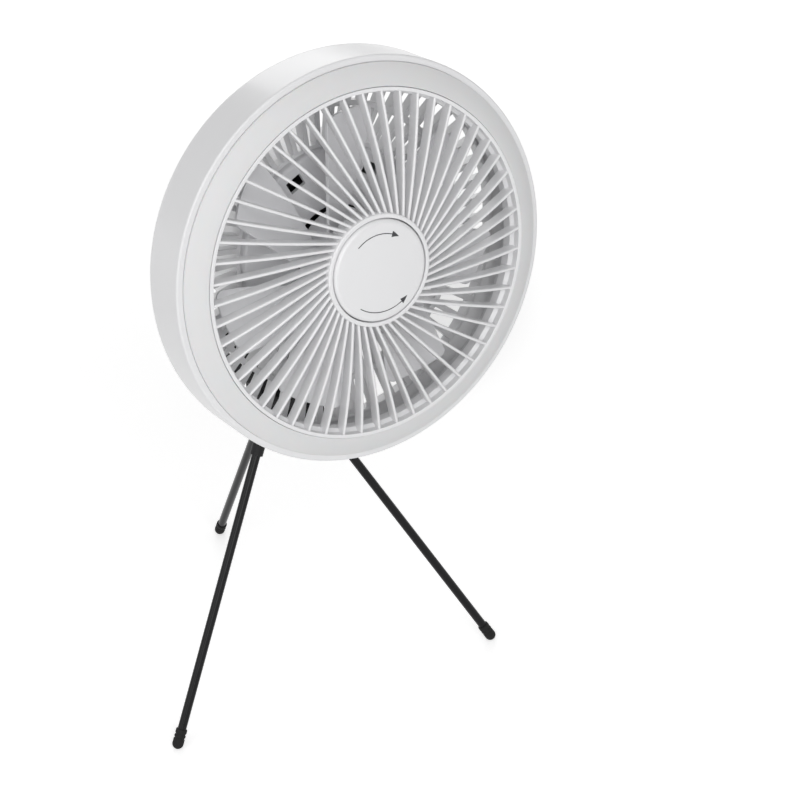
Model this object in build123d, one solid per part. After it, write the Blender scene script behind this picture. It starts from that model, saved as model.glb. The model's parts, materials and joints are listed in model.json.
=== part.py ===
from build123d import *
import os
from math import atan2, cos, degrees, pi, radians, sin

# Portable camping fan: a round white drum with a lit front ring and a vane grille, a battery pod
# behind it, and a black tilting arm on a folding three-legged stand.
# Millimetres. The fan blows along -Y, +Z is up. The pieces are placed with zero on the ground on
# the tripod's axis, and the last step moves zero to the middle of the whole object's footprint.
# Pieces of the head are drawn in the head's own frame: z along the fan's axis towards the front,
# y up, x to the right, zero at the centre of the front rim. HEAD puts them in place.

# ---- Driving dimensions ----------------------------------------------------------------------
face_clearance = 0.3        # between faces of pieces that move past each other
pin_clearance = 0.04        # radial, between a turning pin or shaft and its bore
seat_clearance = 0.2        # between pieces that plug together and stay put

# drum
rim_radius = 105.0
rim_width = 3.4
rim_front_round = 1.1
drum_wall = 2.4
drum_depth = 34.0
rear_edge_radius = 8.0
rear_cone_drop = 6.0
rear_wall = 2.6
ledge_depth = 8.4           # of the light's ledge below the front rim
ledge_thickness = 1.8
ledge_width = 2.6
rear_rib_count = 52
rear_rib_depth = 6.6        # along the axis, of the ribs between the air slots
rear_rib_outer_width = 3.4
rear_rib_inner_width = 2.7
rear_slot_start = 2.0       # of the inner row, outside the collar
rear_slot_inset = 3.5       # of the outer row's end from the rounded edge
rear_slot_bridge = 3.0      # ring between the two rows
rear_slot_rim = 1.4         # wall round the outer row's ends

# light ring
light_ring_width = 11.1
diffuser_front = 6.0        # height of its inner edge above the front rim
diffuser_outer_rise = 1.0
diffuser_bulge = 0.7
diffuser_skin = 1.7
led_count = 44
led_size = (2.8, 3.5, 0.9)
led_board_thickness = 1.6

# duct and front grille
grille_ring_width = 2.5
duct_wall = 2.0
duct_front = -0.6
flange_thickness = 1.6
vane_count = 52
vane_thickness = 1.6
vane_depth = 7.0
vane_bulge = 1.1
vane_outer_drop = 0.5       # of the vanes' fronts below the outer ring and the hub ring
vane_inner_drop = 0.9
grille_ring_front = 6.4
grille_lip_depth = 4.0
grille_lip_wall = 1.2
grille_ring_round = 0.5
hub_ring_radius = 29.2
hub_ring_wall = 2.3
hub_ring_front = 13.9
hub_floor_back = 2.0
hub_floor_thickness = 2.0

# scent box cap
cap_gap = 0.5
cap_edge_height = 14.6
cap_dome = 1.2
cap_bevel = 2.2
cap_skin = 1.8
cap_skirt_radius = 24.3
cap_skirt_wall = 1.8
cap_lug_reach = 2.0
cap_lug_height = 1.6
cap_lug_angle = 24.0
cap_lug_count = 3
cap_twist = 32.0
pad_radius = 20.0
pad_thickness = 3.0

# impeller and motor
blade_count = 7
blade_rest_angle = 83.5
blade_tip_clearance = 9.0   # to the duct
blade_front = -6.4
blade_depth = 18.0
blade_thickness = 1.7
blade_camber = 2.6
blade_corner_radius = 6.0
blade_root_span = 29.0      # width across the blade at the hub, seen from the front
blade_tip_span = 33.0
blade_root_depth = 9.0      # that the blade runs into the hub
impeller_hub_radius = 22.4
impeller_hub_front = -4.6
impeller_hub_round = 2.5
rotor_radius = 19.2
rotor_wall = 1.1
rotor_front = -8.2
rotor_length = 18.6
magnet_thickness = 2.0
magnet_length = 12.0
stator_radius = 15.4
stator_length = 9.0
stator_pole_count = 9
stator_slot_width = 2.0
bearing_radius = 4.0
bearing_width = 3.0
bearing_tube_wall = 1.5
shaft_radius = 1.5

# pod behind the drum: motor housing in front, battery cover behind
pod_radius = 53.0
pod_wall = 2.4
pod_back = 84.0             # depth of its rear face behind the front rim
pod_edge_radius = 6.0
housing_front = 29.0
housing_plate = 2.4
housing_skirt_wall = 2.0
collar_length = 10.0
collar_wall = 2.6
window_count = 6
window_size = (9.0, 6.5)
window_radius = 43.5
arc_slot_radii = (20.4, 23.0)
arc_slot_angle = 40.0
window_start = 54.4         # angle of one window, and of the curved slot inside it
pod_post_place = (38.5, 26.0)
pod_post_radius = 3.8
pod_post_split = 70.0
pod_screw_radius = 1.45
pod_screw_head_radius = 2.7
pod_screw_head_height = 2.0
pod_screw_length = 15.0
pod_screw_recess = (3.4, 0.7, 1.6)
screw_hole_clearance = 0.15
screw_head_clearance = 0.4
counterbore_depth = 5.0

# inside the pod
cell_radius = 9.2
cell_length = 65.0
cell_count = 3
cell_gap = 0.6
cell_depth = 55.0
tray_wall = 1.6
tray_depth = 11.0
tray_rib_places = (-27.0, 25.0)
tray_rib_length = 40.0
board_depth = 74.0
board_thickness = 1.6
board_half_width = 30.0
board_low = -20.0
board_high = 21.0
board_tongue_half_height = 7.0
board_post_places = ((-26.0, -17.0), (26.0, -17.0), (-26.0, 13.0), (26.0, 13.0))
board_post_radius = 2.2
usb_width = 8.9
usb_height = 3.2
usb_length = 7.4
usb_wall = 0.35
usb_tongue = (5.0, 6.2, 0.7)
usb_hole_clearance = 0.15

# controls on the rear face
button_radius = 6.0
button_places = ((-18.0, -9.0), (0.0, -9.0), (18.0, -9.0))
button_proud = 1.3
button_travel = 0.6
button_flange = 1.2
button_flange_thickness = 1.0
switch_size = (6.0, 6.0, 2.0)
switch_plunger = (1.7, 0.6)
indicator_places = ((-9.0, 4.5), (-3.0, 4.5), (3.0, 4.5), (9.0, 4.5))
indicator_radius = 1.2
sensor_window = (10.0, 5.0, 1.4)
sensor_ledge = 1.5          # that the window rests on, round its hole
sensor_height = 19.0

# hanging bail on the rear face
bail_wire_radius = 1.5
bail_half_width = 17.5
bail_hinge_height = 38.0
bail_straight = 7.0
bail_corner_radius = 2.4
bail_stand_off = 2.6        # of the wire's axis behind the pod's rear face
bail_ear_size = (4.4, 6.4)

# tilting arm
lug_width = 30.0
lug_radius = 8.0
pivot_drop = 44.0           # of the tilt pin below the fan's axis
pivot_stand_off = 10.0      # of the tilt pin behind the pod's rear face
tilt_pin_radius = 2.5
tilt_pin_head_radius = 4.0
tilt_pin_head_height = 1.4
tilt_washer_thickness = 1.0
ear_radius = 8.6
arm_half_width = 32.0
arm_thickness = 13.0
arm_shoulder = 15.0         # straight part of its sides below the ears
arm_shoulder_round = 8.0
arm_side_round = 16.0
arm_neck_round = 14.0
arm_ear_inset = 3.0         # of the ears from the arm's widest part
arm_wall = 2.6
arm_rib_width = 2.4
arm_notch_depth = 12.0
arm_rise = 69.0             # tilt pin above the arm's foot
arm_lean = 8.1              # tilt pin in front of the tripod's axis
arm_foot_radius = 20.0
arm_neck_inset = 3.0
arm_foot_height = 8.0
head_tilt = 8.84            # the fan's axis above the level

# tripod
leg_count = 3
tripod_turn = -5.74         # of the tripod below the head, about the vertical
leg_length = 189.5          # leg pin to the centre of the foot's round end
leg_splay = 31.42
leg_pin_place = 17.5        # distance of each leg pin from the tripod's axis
leg_radius = 2.5
leg_socket_radius = 3.7
leg_socket_length = 19.0
leg_tip_inset = 8.0
knuckle_radius = 4.6
knuckle_width = 8.6
leg_pin_radius = 1.5
leg_pin_length = 17.0
foot_radius = 3.25
foot_length = 12.0
foot_flat_radius = 1.5      # of the worn flat that a foot stands on
hub_radius = 23.0
hub_above_pin = 9.0
hub_below_pin = 14.0
hub_slot_inner = 9.0
hub_slot_roof = 6.4
hub_edge_radius = 2.0
swivel_pad_radius = 18.0
swivel_pad_thickness = 2.0
stand_screw_radius = 3.175
stand_screw_length = 12.0
stand_screw_seat = 5.0      # depth that it is set into the tripod's head
insert_wall = 1.7

# ---- Heights and places that follow ------------------------------------------------------------
foot_centre_height = (foot_radius ** 2 - foot_flat_radius ** 2) ** 0.5
leg_pin_height = foot_centre_height + leg_length * cos(radians(leg_splay))
hub_top = leg_pin_height + hub_above_pin
hub_bottom = leg_pin_height - hub_below_pin
arm_foot_bottom = hub_top + swivel_pad_thickness + face_clearance
pivot = Vector(0, -arm_lean, arm_foot_bottom + arm_rise)
fan_axis = Vector(0, -cos(radians(head_tilt)), sin(radians(head_tilt)))
head_up = Vector(0, sin(radians(head_tilt)), cos(radians(head_tilt)))
pivot_back = pod_back + pivot_stand_off
head_centre = pivot + head_up * pivot_drop + fan_axis * pivot_back
HEAD = Plane(origin=head_centre, x_dir=(1, 0, 0), z_dir=fan_axis).location

rim_inner_radius = rim_radius - rim_width
shell_inner_radius = rim_radius - drum_wall
diffuser_inner_radius = rim_inner_radius - light_ring_width
duct_radius = diffuser_inner_radius - grille_ring_width
duct_outer_radius = duct_radius + duct_wall
blade_tip_radius = duct_radius - blade_tip_clearance
collar_outer_radius = pod_radius
collar_inner_radius = pod_radius - collar_wall
collar_front = housing_front + housing_plate + 2.0
collar_back = collar_front + collar_length
cover_inner_radius = pod_radius - pod_wall
cover_inner_back = pod_back - pod_wall
rear_edge = rim_radius - rear_edge_radius
slot_start = collar_outer_radius + rear_slot_start
slot_end = rear_edge - rear_slot_inset
slot_length = (slot_end - slot_start - rear_slot_bridge) / 2
hub_ring_inner_radius = hub_ring_radius - hub_ring_wall
cap_radius = hub_ring_inner_radius - cap_gap
hub_floor_front = hub_floor_back + hub_floor_thickness

nodes = {}


# ---- Small drawing helpers ---------------------------------------------------------------------
def outline(points, rounds=()):
    """Closed face through the points; rounds lists (index of a point, corner radius)."""
    face = make_face(Polyline(*points, close=True))
    for index, radius in rounds:
        corner = face.vertices().sort_by_distance(Vector(*points[index], 0))[0]
        face = fillet(corner, radius)
    return face


def turned(points, rounds=()):
    """Solid of revolution about z from (radius, height) points."""
    return revolve(Plane.XZ * outline(points, rounds), Axis.Z)


def tube(outer, inner, low, high):
    """Plain ring, or a disc where inner is zero, from height low to height high."""
    ring = Circle(outer) - Circle(inner) if inner else Circle(outer)
    return Pos(0, 0, low) * extrude(ring, high - low)


def block(size, centre):
    return Pos(*centre) * Box(*size)


def around(shape, count, start=0.0):
    """Copies of a shape spaced evenly about z."""
    return [Rot(0, 0, start + 360.0 * k / count) * shape for k in range(count)]


def sector(inner, outer, angle):
    """Flat ring segment centred on +x."""
    half = radians(angle / 2)
    corners = [(r * cos(a), r * sin(a)) for r in (inner, outer) for a in (-half, half)]
    inner_low, inner_high, outer_low, outer_high = corners
    edges = [
        ThreePointArc(inner_low, (inner, 0), inner_high),
        Line(inner_high, outer_high),
        ThreePointArc(outer_high, (outer, 0), outer_low),
        Line(outer_low, inner_low),
    ]
    return make_face(edges)


def x_cylinder(radius, length, centre):
    """Cylinder along x."""
    return Pos(*centre) * Rot(0, 90, 0) * Cylinder(radius, length)


# ---- Drum shell --------------------------------------------------------------------------------
def rear_surface(radius, depth_offset=0.0):
    """Height of the drum's rear cone at a radius; the offset goes forward into the wall."""
    share = (rear_edge - radius) / (rear_edge - collar_outer_radius)
    return -drum_depth - rear_cone_drop * share + depth_offset


def slot_half_width(radius):
    """Half of the gap between two ribs, which widen a little from the collar outwards."""
    share = (radius - slot_start) / (slot_end - slot_start)
    rib = rear_rib_inner_width + (rear_rib_outer_width - rear_rib_inner_width) * share
    return pi * radius / rear_rib_count - rib / 2


def rear_slot(inner, outer):
    """Tapered air slot between two radii of the rear wall, cut along the axis."""
    near = slot_half_width(inner)
    far = slot_half_width(outer)
    face = Polygon((inner, -near), (outer, -far), (outer, far), (inner, near), align=None)
    return Pos(0, 0, -pod_back) * extrude(face, pod_back - ledge_depth - ledge_thickness)


def make_drum():
    slot_rim = slot_end + rear_slot_rim
    ledge_inner_radius = rim_inner_radius - ledge_width
    ledge_back = -ledge_depth - ledge_thickness
    profile = [
        (rim_inner_radius, 0), (rim_radius, 0), (rim_radius, -drum_depth), (rear_edge, -drum_depth),
        (collar_outer_radius, rear_surface(collar_outer_radius)), (collar_outer_radius, -collar_back),
        (collar_inner_radius, -collar_back), (collar_inner_radius, -collar_front),
        (collar_outer_radius, -collar_front), (slot_rim, rear_surface(slot_rim, rear_rib_depth)),
        (slot_rim, rear_surface(slot_rim, rear_wall)),
        (rear_edge, -drum_depth + rear_wall), (shell_inner_radius, -drum_depth + rear_edge_radius),
        (shell_inner_radius, ledge_back), (ledge_inner_radius, ledge_back),
        (ledge_inner_radius, -ledge_depth), (rim_inner_radius, -ledge_depth),
    ]
    shell = turned(profile, [(1, rim_front_round), (2, rear_edge_radius - 0.2)])
    rows = (slot_start, slot_end - slot_length)
    slots = [slot for start in rows for slot in around(rear_slot(start, start + slot_length), rear_rib_count)]
    nodes["drum_shell"] = shell - slots


# ---- Light ring --------------------------------------------------------------------------------
def make_light():
    flange_front = -ledge_depth + flange_thickness
    outer = rim_inner_radius - seat_clearance
    inner = diffuser_inner_radius
    skin = diffuser_skin
    middle = ((outer + inner) / 2, (diffuser_front + diffuser_outer_rise) / 2 + diffuser_bulge)
    inside_outer = (outer - skin, diffuser_outer_rise - skin * 0.8)
    inside_inner = (inner + skin, diffuser_front - skin)
    inside_middle = (middle[0], middle[1] - skin)
    skin_edges = [
        Line((inner, flange_front), (inner, diffuser_front)),
        ThreePointArc((inner, diffuser_front), middle, (outer, diffuser_outer_rise)),
        Line((outer, diffuser_outer_rise), (outer, flange_front)),
        Line((outer, flange_front), (outer - skin, flange_front)),
        Line((outer - skin, flange_front), inside_outer),
        ThreePointArc(inside_outer, inside_middle, inside_inner),
        Line(inside_inner, (inner + skin, flange_front)),
        Line((inner + skin, flange_front), (inner, flange_front)),
    ]
    nodes["light_diffuser"] = revolve(Plane.XZ * make_face(skin_edges), Axis.Z)

    board_inner = inner + skin + seat_clearance
    board_outer = outer - skin - seat_clearance
    board_front = flange_front + led_board_thickness
    nodes["led_board"] = tube(board_outer, board_inner, flange_front, board_front)
    led_place = ((board_inner + board_outer) / 2, 0, board_front + led_size[2] / 2)
    nodes["led_chips"] = Compound(around(block(led_size, led_place), led_count))


# ---- Duct and front grille ---------------------------------------------------------------------
def make_duct():
    """Short inner wall of the air path, on the flange that seats on the drum's ledge."""
    flange_front = -ledge_depth + flange_thickness
    flange_outer = rim_inner_radius - seat_clearance
    nodes["duct_ring"] = turned([
        (duct_radius, duct_front), (duct_outer_radius, duct_front), (duct_outer_radius, flange_front),
        (flange_outer, flange_front), (flange_outer, -ledge_depth), (duct_radius, -ledge_depth),
    ])


def vane():
    """One straight radial vane, bowed forward a little, standing on the +x side."""
    outer = (duct_radius + duct_outer_radius) / 2
    inner = hub_ring_radius - hub_ring_wall / 2
    front_out = (outer, grille_ring_front - vane_outer_drop)
    front_in = (inner, hub_ring_front - vane_inner_drop)
    back_out = (outer, front_out[1] - vane_depth)
    back_in = (inner, front_in[1] - vane_depth)
    middle_r = (outer + inner) / 2
    front_mid = (middle_r, (front_out[1] + front_in[1]) / 2 + vane_bulge)
    back_mid = (middle_r, front_mid[1] - vane_depth)
    edges = [
        ThreePointArc(front_in, front_mid, front_out), Line(front_out, back_out),
        ThreePointArc(back_out, back_mid, back_in), Line(back_in, front_in),
    ]
    return extrude(Plane.XZ * make_face(edges), vane_thickness / 2, both=True)


def make_grille():
    ring_outer = diffuser_inner_radius - seat_clearance
    lip_outer = duct_radius - seat_clearance
    lip_inner = lip_outer - grille_lip_wall
    ring = turned([
        (duct_radius + 0.4, grille_ring_front), (ring_outer, grille_ring_front),
        (ring_outer, duct_front), (lip_outer, duct_front),
        (lip_outer, duct_front - grille_lip_depth), (lip_inner, duct_front - grille_lip_depth),
        (lip_inner, duct_front + 1.5), (duct_radius + 0.4, duct_front + 3.0),
    ], [(0, grille_ring_round), (1, grille_ring_round)])
    hub = turned([
        (hub_ring_inner_radius, hub_ring_front), (hub_ring_radius, hub_ring_front),
        (hub_ring_radius, hub_floor_back), (0, hub_floor_back), (0, hub_floor_front),
        (hub_ring_inner_radius, hub_floor_front),
    ], [(1, 0.8), (2, 2.0)])
    tab_low = hub_floor_front + cap_lug_height * 2 + 2 * face_clearance
    tab = extrude(sector(cap_skirt_radius + cap_gap, hub_ring_radius - 0.5, cap_twist), 1.6)
    tabs = around(Pos(0, 0, tab_low) * tab, cap_lug_count, blade_rest_angle)
    vanes = around(vane(), vane_count, 180.0 / vane_count)
    cap_room = tube(hub_ring_inner_radius, 0, hub_floor_front, hub_ring_front + vane_depth)
    duct_room = tube(ring_outer, lip_outer, duct_front - vane_depth, duct_front)
    nodes["front_grille"] = ring + (hub + vanes - cap_room - duct_room) + tabs


def make_scent_box():
    skirt_inner = cap_skirt_radius - cap_skirt_wall
    lug_low = hub_floor_front + cap_lug_height
    brim = hub_ring_front - 2.6
    dome_top = cap_edge_height + cap_dome
    bevel_in = cap_radius - cap_bevel
    edges = [
        Line((0, dome_top - cap_skin), (0, dome_top)),
        ThreePointArc((0, dome_top), (bevel_in * 0.55, dome_top - 0.25 * cap_dome),
                      (bevel_in, cap_edge_height + 0.25 * cap_dome)),
        ThreePointArc((bevel_in, cap_edge_height + 0.25 * cap_dome),
                      (cap_radius - 0.3 * cap_bevel, cap_edge_height - 0.18 * cap_bevel),
                      (cap_radius, cap_edge_height - 0.75 * cap_bevel)),
        Line((cap_radius, cap_edge_height - 0.75 * cap_bevel), (cap_radius, brim)),
        Line((cap_radius, brim), (cap_skirt_radius, brim)),
        Line((cap_skirt_radius, brim), (cap_skirt_radius, lug_low)),
        Line((cap_skirt_radius, lug_low), (skirt_inner, lug_low)),
        Line((skirt_inner, lug_low), (skirt_inner, dome_top - cap_skin - 0.9)),
        Line((skirt_inner, dome_top - cap_skin - 0.9), (0, dome_top - cap_skin)),
    ]
    cap = revolve(Plane.XZ * make_face(edges), Axis.Z)
    lug = extrude(sector(cap_skirt_radius - 0.4, cap_skirt_radius + cap_lug_reach, cap_lug_angle),
                  cap_lug_height)
    lugs = around(Pos(0, 0, lug_low) * lug, cap_lug_count, blade_rest_angle)
    nodes["scent_cap"] = cap + lugs
    nodes["scent_pad"] = tube(pad_radius, 0, hub_floor_front, hub_floor_front + pad_thickness)


# ---- Impeller and motor ------------------------------------------------------------------------
def blade_section(radius):
    """Thin cambered section across the blade at a radius, chord rising towards the trailing side."""
    share = (radius - impeller_hub_radius) / (blade_tip_radius - impeller_hub_radius)
    span = blade_root_span + (blade_tip_span - blade_root_span) * share
    chord = (span ** 2 + blade_depth ** 2) ** 0.5
    stagger = degrees(atan2(blade_depth, span))
    nose, tail = (-chord / 2, 0), (chord / 2, 0)
    back = ThreePointArc(nose, (0, -blade_camber - blade_thickness / 2), tail)
    front = ThreePointArc(tail, (0, -blade_camber + blade_thickness / 2), nose)
    middle = blade_front - blade_depth / 2 + blade_camber / 2
    place = Plane(origin=(radius, 0, middle), x_dir=(0, 1, 0), z_dir=(1, 0, 0))
    return place * (Rot(0, 0, stagger) * make_face([back, front]))


def blade():
    root = impeller_hub_radius - blade_root_depth
    middle = (root + blade_tip_radius) / 2
    surface = loft([blade_section(r) for r in (root, middle, blade_tip_radius + 2.0)])
    tip_half = blade_tip_span / 2
    reach = (blade_tip_radius ** 2 - tip_half ** 2) ** 0.5
    low_corner, high_corner = (0, -blade_root_span), (0, blade_root_span)
    edges = [
        Line(low_corner, (reach, -tip_half)),
        ThreePointArc((reach, -tip_half), (blade_tip_radius, 0), (reach, tip_half)),
        Line((reach, tip_half), high_corner),
        Line(high_corner, low_corner),
    ]
    face = make_face(edges)
    corners = face.vertices().sort_by(Axis.X)[-2:]
    face = fillet(corners, blade_corner_radius)
    trim = Pos(0, 0, blade_front - 2 * blade_depth) * extrude(face, 3 * blade_depth)
    return surface & trim


def make_impeller():
    hub_back = rotor_front - rotor_length + 0.8
    hub = turned([
        (shaft_radius, impeller_hub_front), (impeller_hub_radius, impeller_hub_front),
        (impeller_hub_radius, hub_back), (rotor_radius, hub_back),
        (rotor_radius, rotor_front), (shaft_radius, rotor_front),
    ], [(1, impeller_hub_round)])
    keep_out = tube(rotor_radius, 0, hub_back - blade_depth, rotor_front)
    blades = around(blade(), blade_count, blade_rest_angle)
    nodes["impeller"] = hub + [piece - keep_out for piece in blades]


def make_motor():
    rotor_back = rotor_front - rotor_length
    rotor_inner = rotor_radius - rotor_wall
    nodes["rotor_can"] = turned([
        (shaft_radius, rotor_front), (rotor_radius, rotor_front), (rotor_radius, rotor_back),
        (rotor_inner, rotor_back), (rotor_inner, rotor_front - rotor_wall),
        (shaft_radius, rotor_front - rotor_wall),
    ], [(1, 0.6)])
    magnet_front = rotor_front - rotor_wall - 2.2
    nodes["rotor_magnet"] = tube(rotor_inner, rotor_inner - magnet_thickness,
                                 magnet_front - magnet_length, magnet_front)

    tube_front = rotor_front - rotor_wall - 2.0
    tube_back = -housing_front - housing_plate - 2.0
    tube_outer = bearing_radius + bearing_tube_wall
    nodes["bearing_tube"] = turned([
        (bearing_radius, tube_front), (tube_outer, tube_front), (tube_outer, tube_back),
        (0, tube_back), (0, tube_back + 1.2), (bearing_radius, tube_back + 1.2),
    ])
    bearing_bore = shaft_radius + pin_clearance
    bearing_backs = (tube_front - bearing_width, tube_back + 1.2 + 1.0)
    bearings = [tube(bearing_radius, bearing_bore, low, low + bearing_width) for low in bearing_backs]
    nodes["bearings"] = Compound(bearings)
    shaft_back = tube_back + 1.2 + face_clearance
    nodes["motor_shaft"] = tube(shaft_radius, 0, shaft_back, impeller_hub_front - 0.4)

    stator_middle = magnet_front - magnet_length / 2
    stack = tube(stator_radius, tube_outer, stator_middle - stator_length / 2,
                 stator_middle + stator_length / 2)
    slot_length = stator_radius - tube_outer - 4.0
    slot = block((slot_length, stator_slot_width, stator_length + 2),
                 (tube_outer + 2.4 + slot_length / 2, 0, stator_middle))
    mouth = block((4.0, 0.8, stator_length + 2), (stator_radius, 0, stator_middle))
    nodes["motor_stator"] = stack - around(slot, stator_pole_count) - around(mouth, stator_pole_count)
    coil_place = (tube_outer + 2.4 + slot_length / 2, 0, 0)
    coil = block((slot_length - 0.4, stator_slot_width * 0.8, stator_length + 1.6), coil_place)
    coils = around(Pos(0, 0, stator_middle) * coil, stator_pole_count)
    nodes["motor_coils"] = Compound(coils)


# ---- Pod: motor housing, cover and what they hold ------------------------------------------------
def post_places():
    x, y = pod_post_place
    return [(x * side_x, y * side_y) for side_x in (-1, 1) for side_y in (-1, 1)]


def make_motor_housing():
    plate_back = -housing_front - housing_plate
    skirt_outer = collar_inner_radius - seat_clearance
    skirt_inner = skirt_outer - housing_skirt_wall
    brim_back = -collar_front
    cup = turned([
        (0, -housing_front), (collar_outer_radius, -housing_front), (collar_outer_radius, brim_back),
        (skirt_outer, brim_back), (skirt_outer, -collar_back), (skirt_inner, -collar_back),
        (skirt_inner, plate_back), (0, plate_back),
    ], [(1, 2.0)])
    cut_low = plate_back - 1.0
    cut_height = housing_plate + 2.0
    window = block((*window_size[::-1], cut_height * 2), (window_radius, 0, plate_back))
    arc = Pos(0, 0, cut_low) * extrude(sector(*arc_slot_radii, arc_slot_angle), cut_height)
    centre = tube(bearing_radius + bearing_tube_wall, 0, cut_low, cut_low + cut_height)
    cup = cup - around(window, window_count, window_start) - around(arc, window_count, window_start)
    cup = cup - centre
    for x, y in post_places():
        pillar = tube(pod_post_radius, pod_screw_radius, -pod_post_split, plate_back)
        cup = cup + Pos(x, y, 0) * pillar
    nodes["motor_housing"] = cup


def bail_ear(side):
    """Small block on the rear face with the bore that one end of the bail turns in."""
    width, height = bail_ear_size
    x = side * (bail_half_width + bail_corner_radius + face_clearance + width / 2)
    depth = bail_stand_off + bail_wire_radius + 1.6
    ear = block((width, height, depth + 0.5), (x, bail_hinge_height, -pod_back - depth / 2 + 0.25))
    return fillet(ear.edges().filter_by(Axis.X).group_by(Axis.Z)[0], 2.0)


def make_pod_cover():
    front = -collar_back
    bowl = turned([
        (cover_inner_radius, front), (pod_radius, front), (pod_radius, -pod_back), (0, -pod_back),
        (0, -cover_inner_back), (cover_inner_radius, -cover_inner_back),
    ], [(2, pod_edge_radius), (5, pod_edge_radius - pod_wall)])
    inside = tube(cover_inner_radius, 0, -cover_inner_back - 0.01, front)
    for x, y in post_places():
        post = tube(pod_post_radius, 0, -cover_inner_back, -pod_post_split - seat_clearance)
        bowl = bowl + Pos(x, y, 0) * post
        hole = tube(pod_screw_radius + screw_hole_clearance, 0, -pod_back, -collar_back)
        counterbore = tube(pod_screw_head_radius + screw_head_clearance, 0, -pod_back - 1,
                           -pod_back + counterbore_depth)
        bowl = bowl - Pos(x, y, 0) * hole - Pos(x, y, 0) * counterbore
    tray_back = cell_depth + cell_radius + tray_wall
    rib_height = cover_inner_back - tray_back
    for y in tray_rib_places:
        bowl = bowl + block((tray_rib_length, 2.0, rib_height), (0, y, -tray_back - rib_height / 2))
    board_back = board_depth + board_thickness
    for x, y in board_post_places:
        bowl = bowl + Pos(x, y, 0) * tube(board_post_radius, 0, -cover_inner_back, -board_back)

    lug_centre = (0, -pivot_drop, -pivot_back)
    lug_web = block((lug_width, 2 * lug_radius, pivot_stand_off + 1.0),
                    (0, -pivot_drop, -pivot_back + (pivot_stand_off + 1.0) / 2))
    lug = x_cylinder(lug_radius, lug_width, lug_centre) + lug_web
    behind = 2 * (pivot_stand_off + lug_radius)
    lug = lug & (tube(pod_radius, 0, -pod_back, front) + block(
        (lug_width, 4 * lug_radius, behind), (0, -pivot_drop, -pod_back - behind / 2)))
    bowl = bowl + (lug - inside)
    bowl = bowl - x_cylinder(tilt_pin_radius + pin_clearance, lug_width + 2, lug_centre)

    for side in (-1, 1):
        bowl = bowl + bail_ear(side)
    bail_centre = (0, bail_hinge_height, -pod_back - bail_stand_off)
    bowl = bowl - x_cylinder(bail_wire_radius + pin_clearance, 90, bail_centre)

    drill_start, drill_end = -pod_back - 1.0, -cover_inner_back + 1.0
    for x, y in button_places:
        bowl = bowl - Pos(x, y, 0) * tube(button_radius + face_clearance, 0, drill_start, drill_end)
    for x, y in indicator_places:
        bowl = bowl - Pos(x, y, 0) * tube(indicator_radius, 0, drill_start, drill_end)
    width, height, depth = sensor_window
    bowl = bowl - block((width, height, depth), (0, sensor_height, -pod_back + depth / 2))
    bowl = bowl - block((width - 2 * sensor_ledge, height - 2 * sensor_ledge, 4 * pod_wall),
                        (0, sensor_height, -pod_back))
    port = extrude(SlotOverall(usb_width + 2 * usb_hole_clearance, usb_height + 2 * usb_hole_clearance),
                   2 * usb_length)
    bowl = bowl - Pos(pod_radius - usb_length, 0, -board_depth + usb_height / 2) * (
        Rot(0, 90, 0) * Rot(0, 0, 90) * port)
    nodes["pod_cover"] = bowl

    head_back = -pod_back + counterbore_depth
    head_front = head_back + pod_screw_head_height
    screw = tube(pod_screw_radius, 0, head_front, head_front + pod_screw_length) + tube(
        pod_screw_head_radius, 0, head_back - 0.01, head_front)
    long, wide, deep = pod_screw_recess
    bore = Pos(0, 0, head_back) * (Box(long, wide, deep) + Box(wide, long, deep))
    # The head stands on the floor of its counterbore, so it lies behind that floor.
    screw = Pos(0, 0, -pod_screw_head_height) * (screw - bore)
    nodes["pod_screws"] = Compound([Pos(x, y, 0) * screw for x, y in post_places()])


def make_battery():
    pitch = 2 * cell_radius + cell_gap
    places = [(k - (cell_count - 1) / 2) * pitch for k in range(cell_count)]
    can = Rot(0, 90, 0) * (Cylinder(cell_radius, cell_length - 1.6) +
                           Cylinder(2.7, cell_length))
    nodes["battery_cells"] = Compound([Pos(0, y, -cell_depth) * can for y in places])
    back = cell_depth + cell_radius + tray_wall
    length = cell_length + 2 * tray_wall + 2 * seat_clearance
    height = cell_count * pitch + 2 * tray_wall
    tray = block((length, height, tray_depth), (0, 0, -back + tray_depth / 2))
    for y in places:
        tray = tray - x_cylinder(cell_radius, cell_length + 2 * seat_clearance, (0, y, -cell_depth))
    nodes["battery_tray"] = tray


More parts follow.
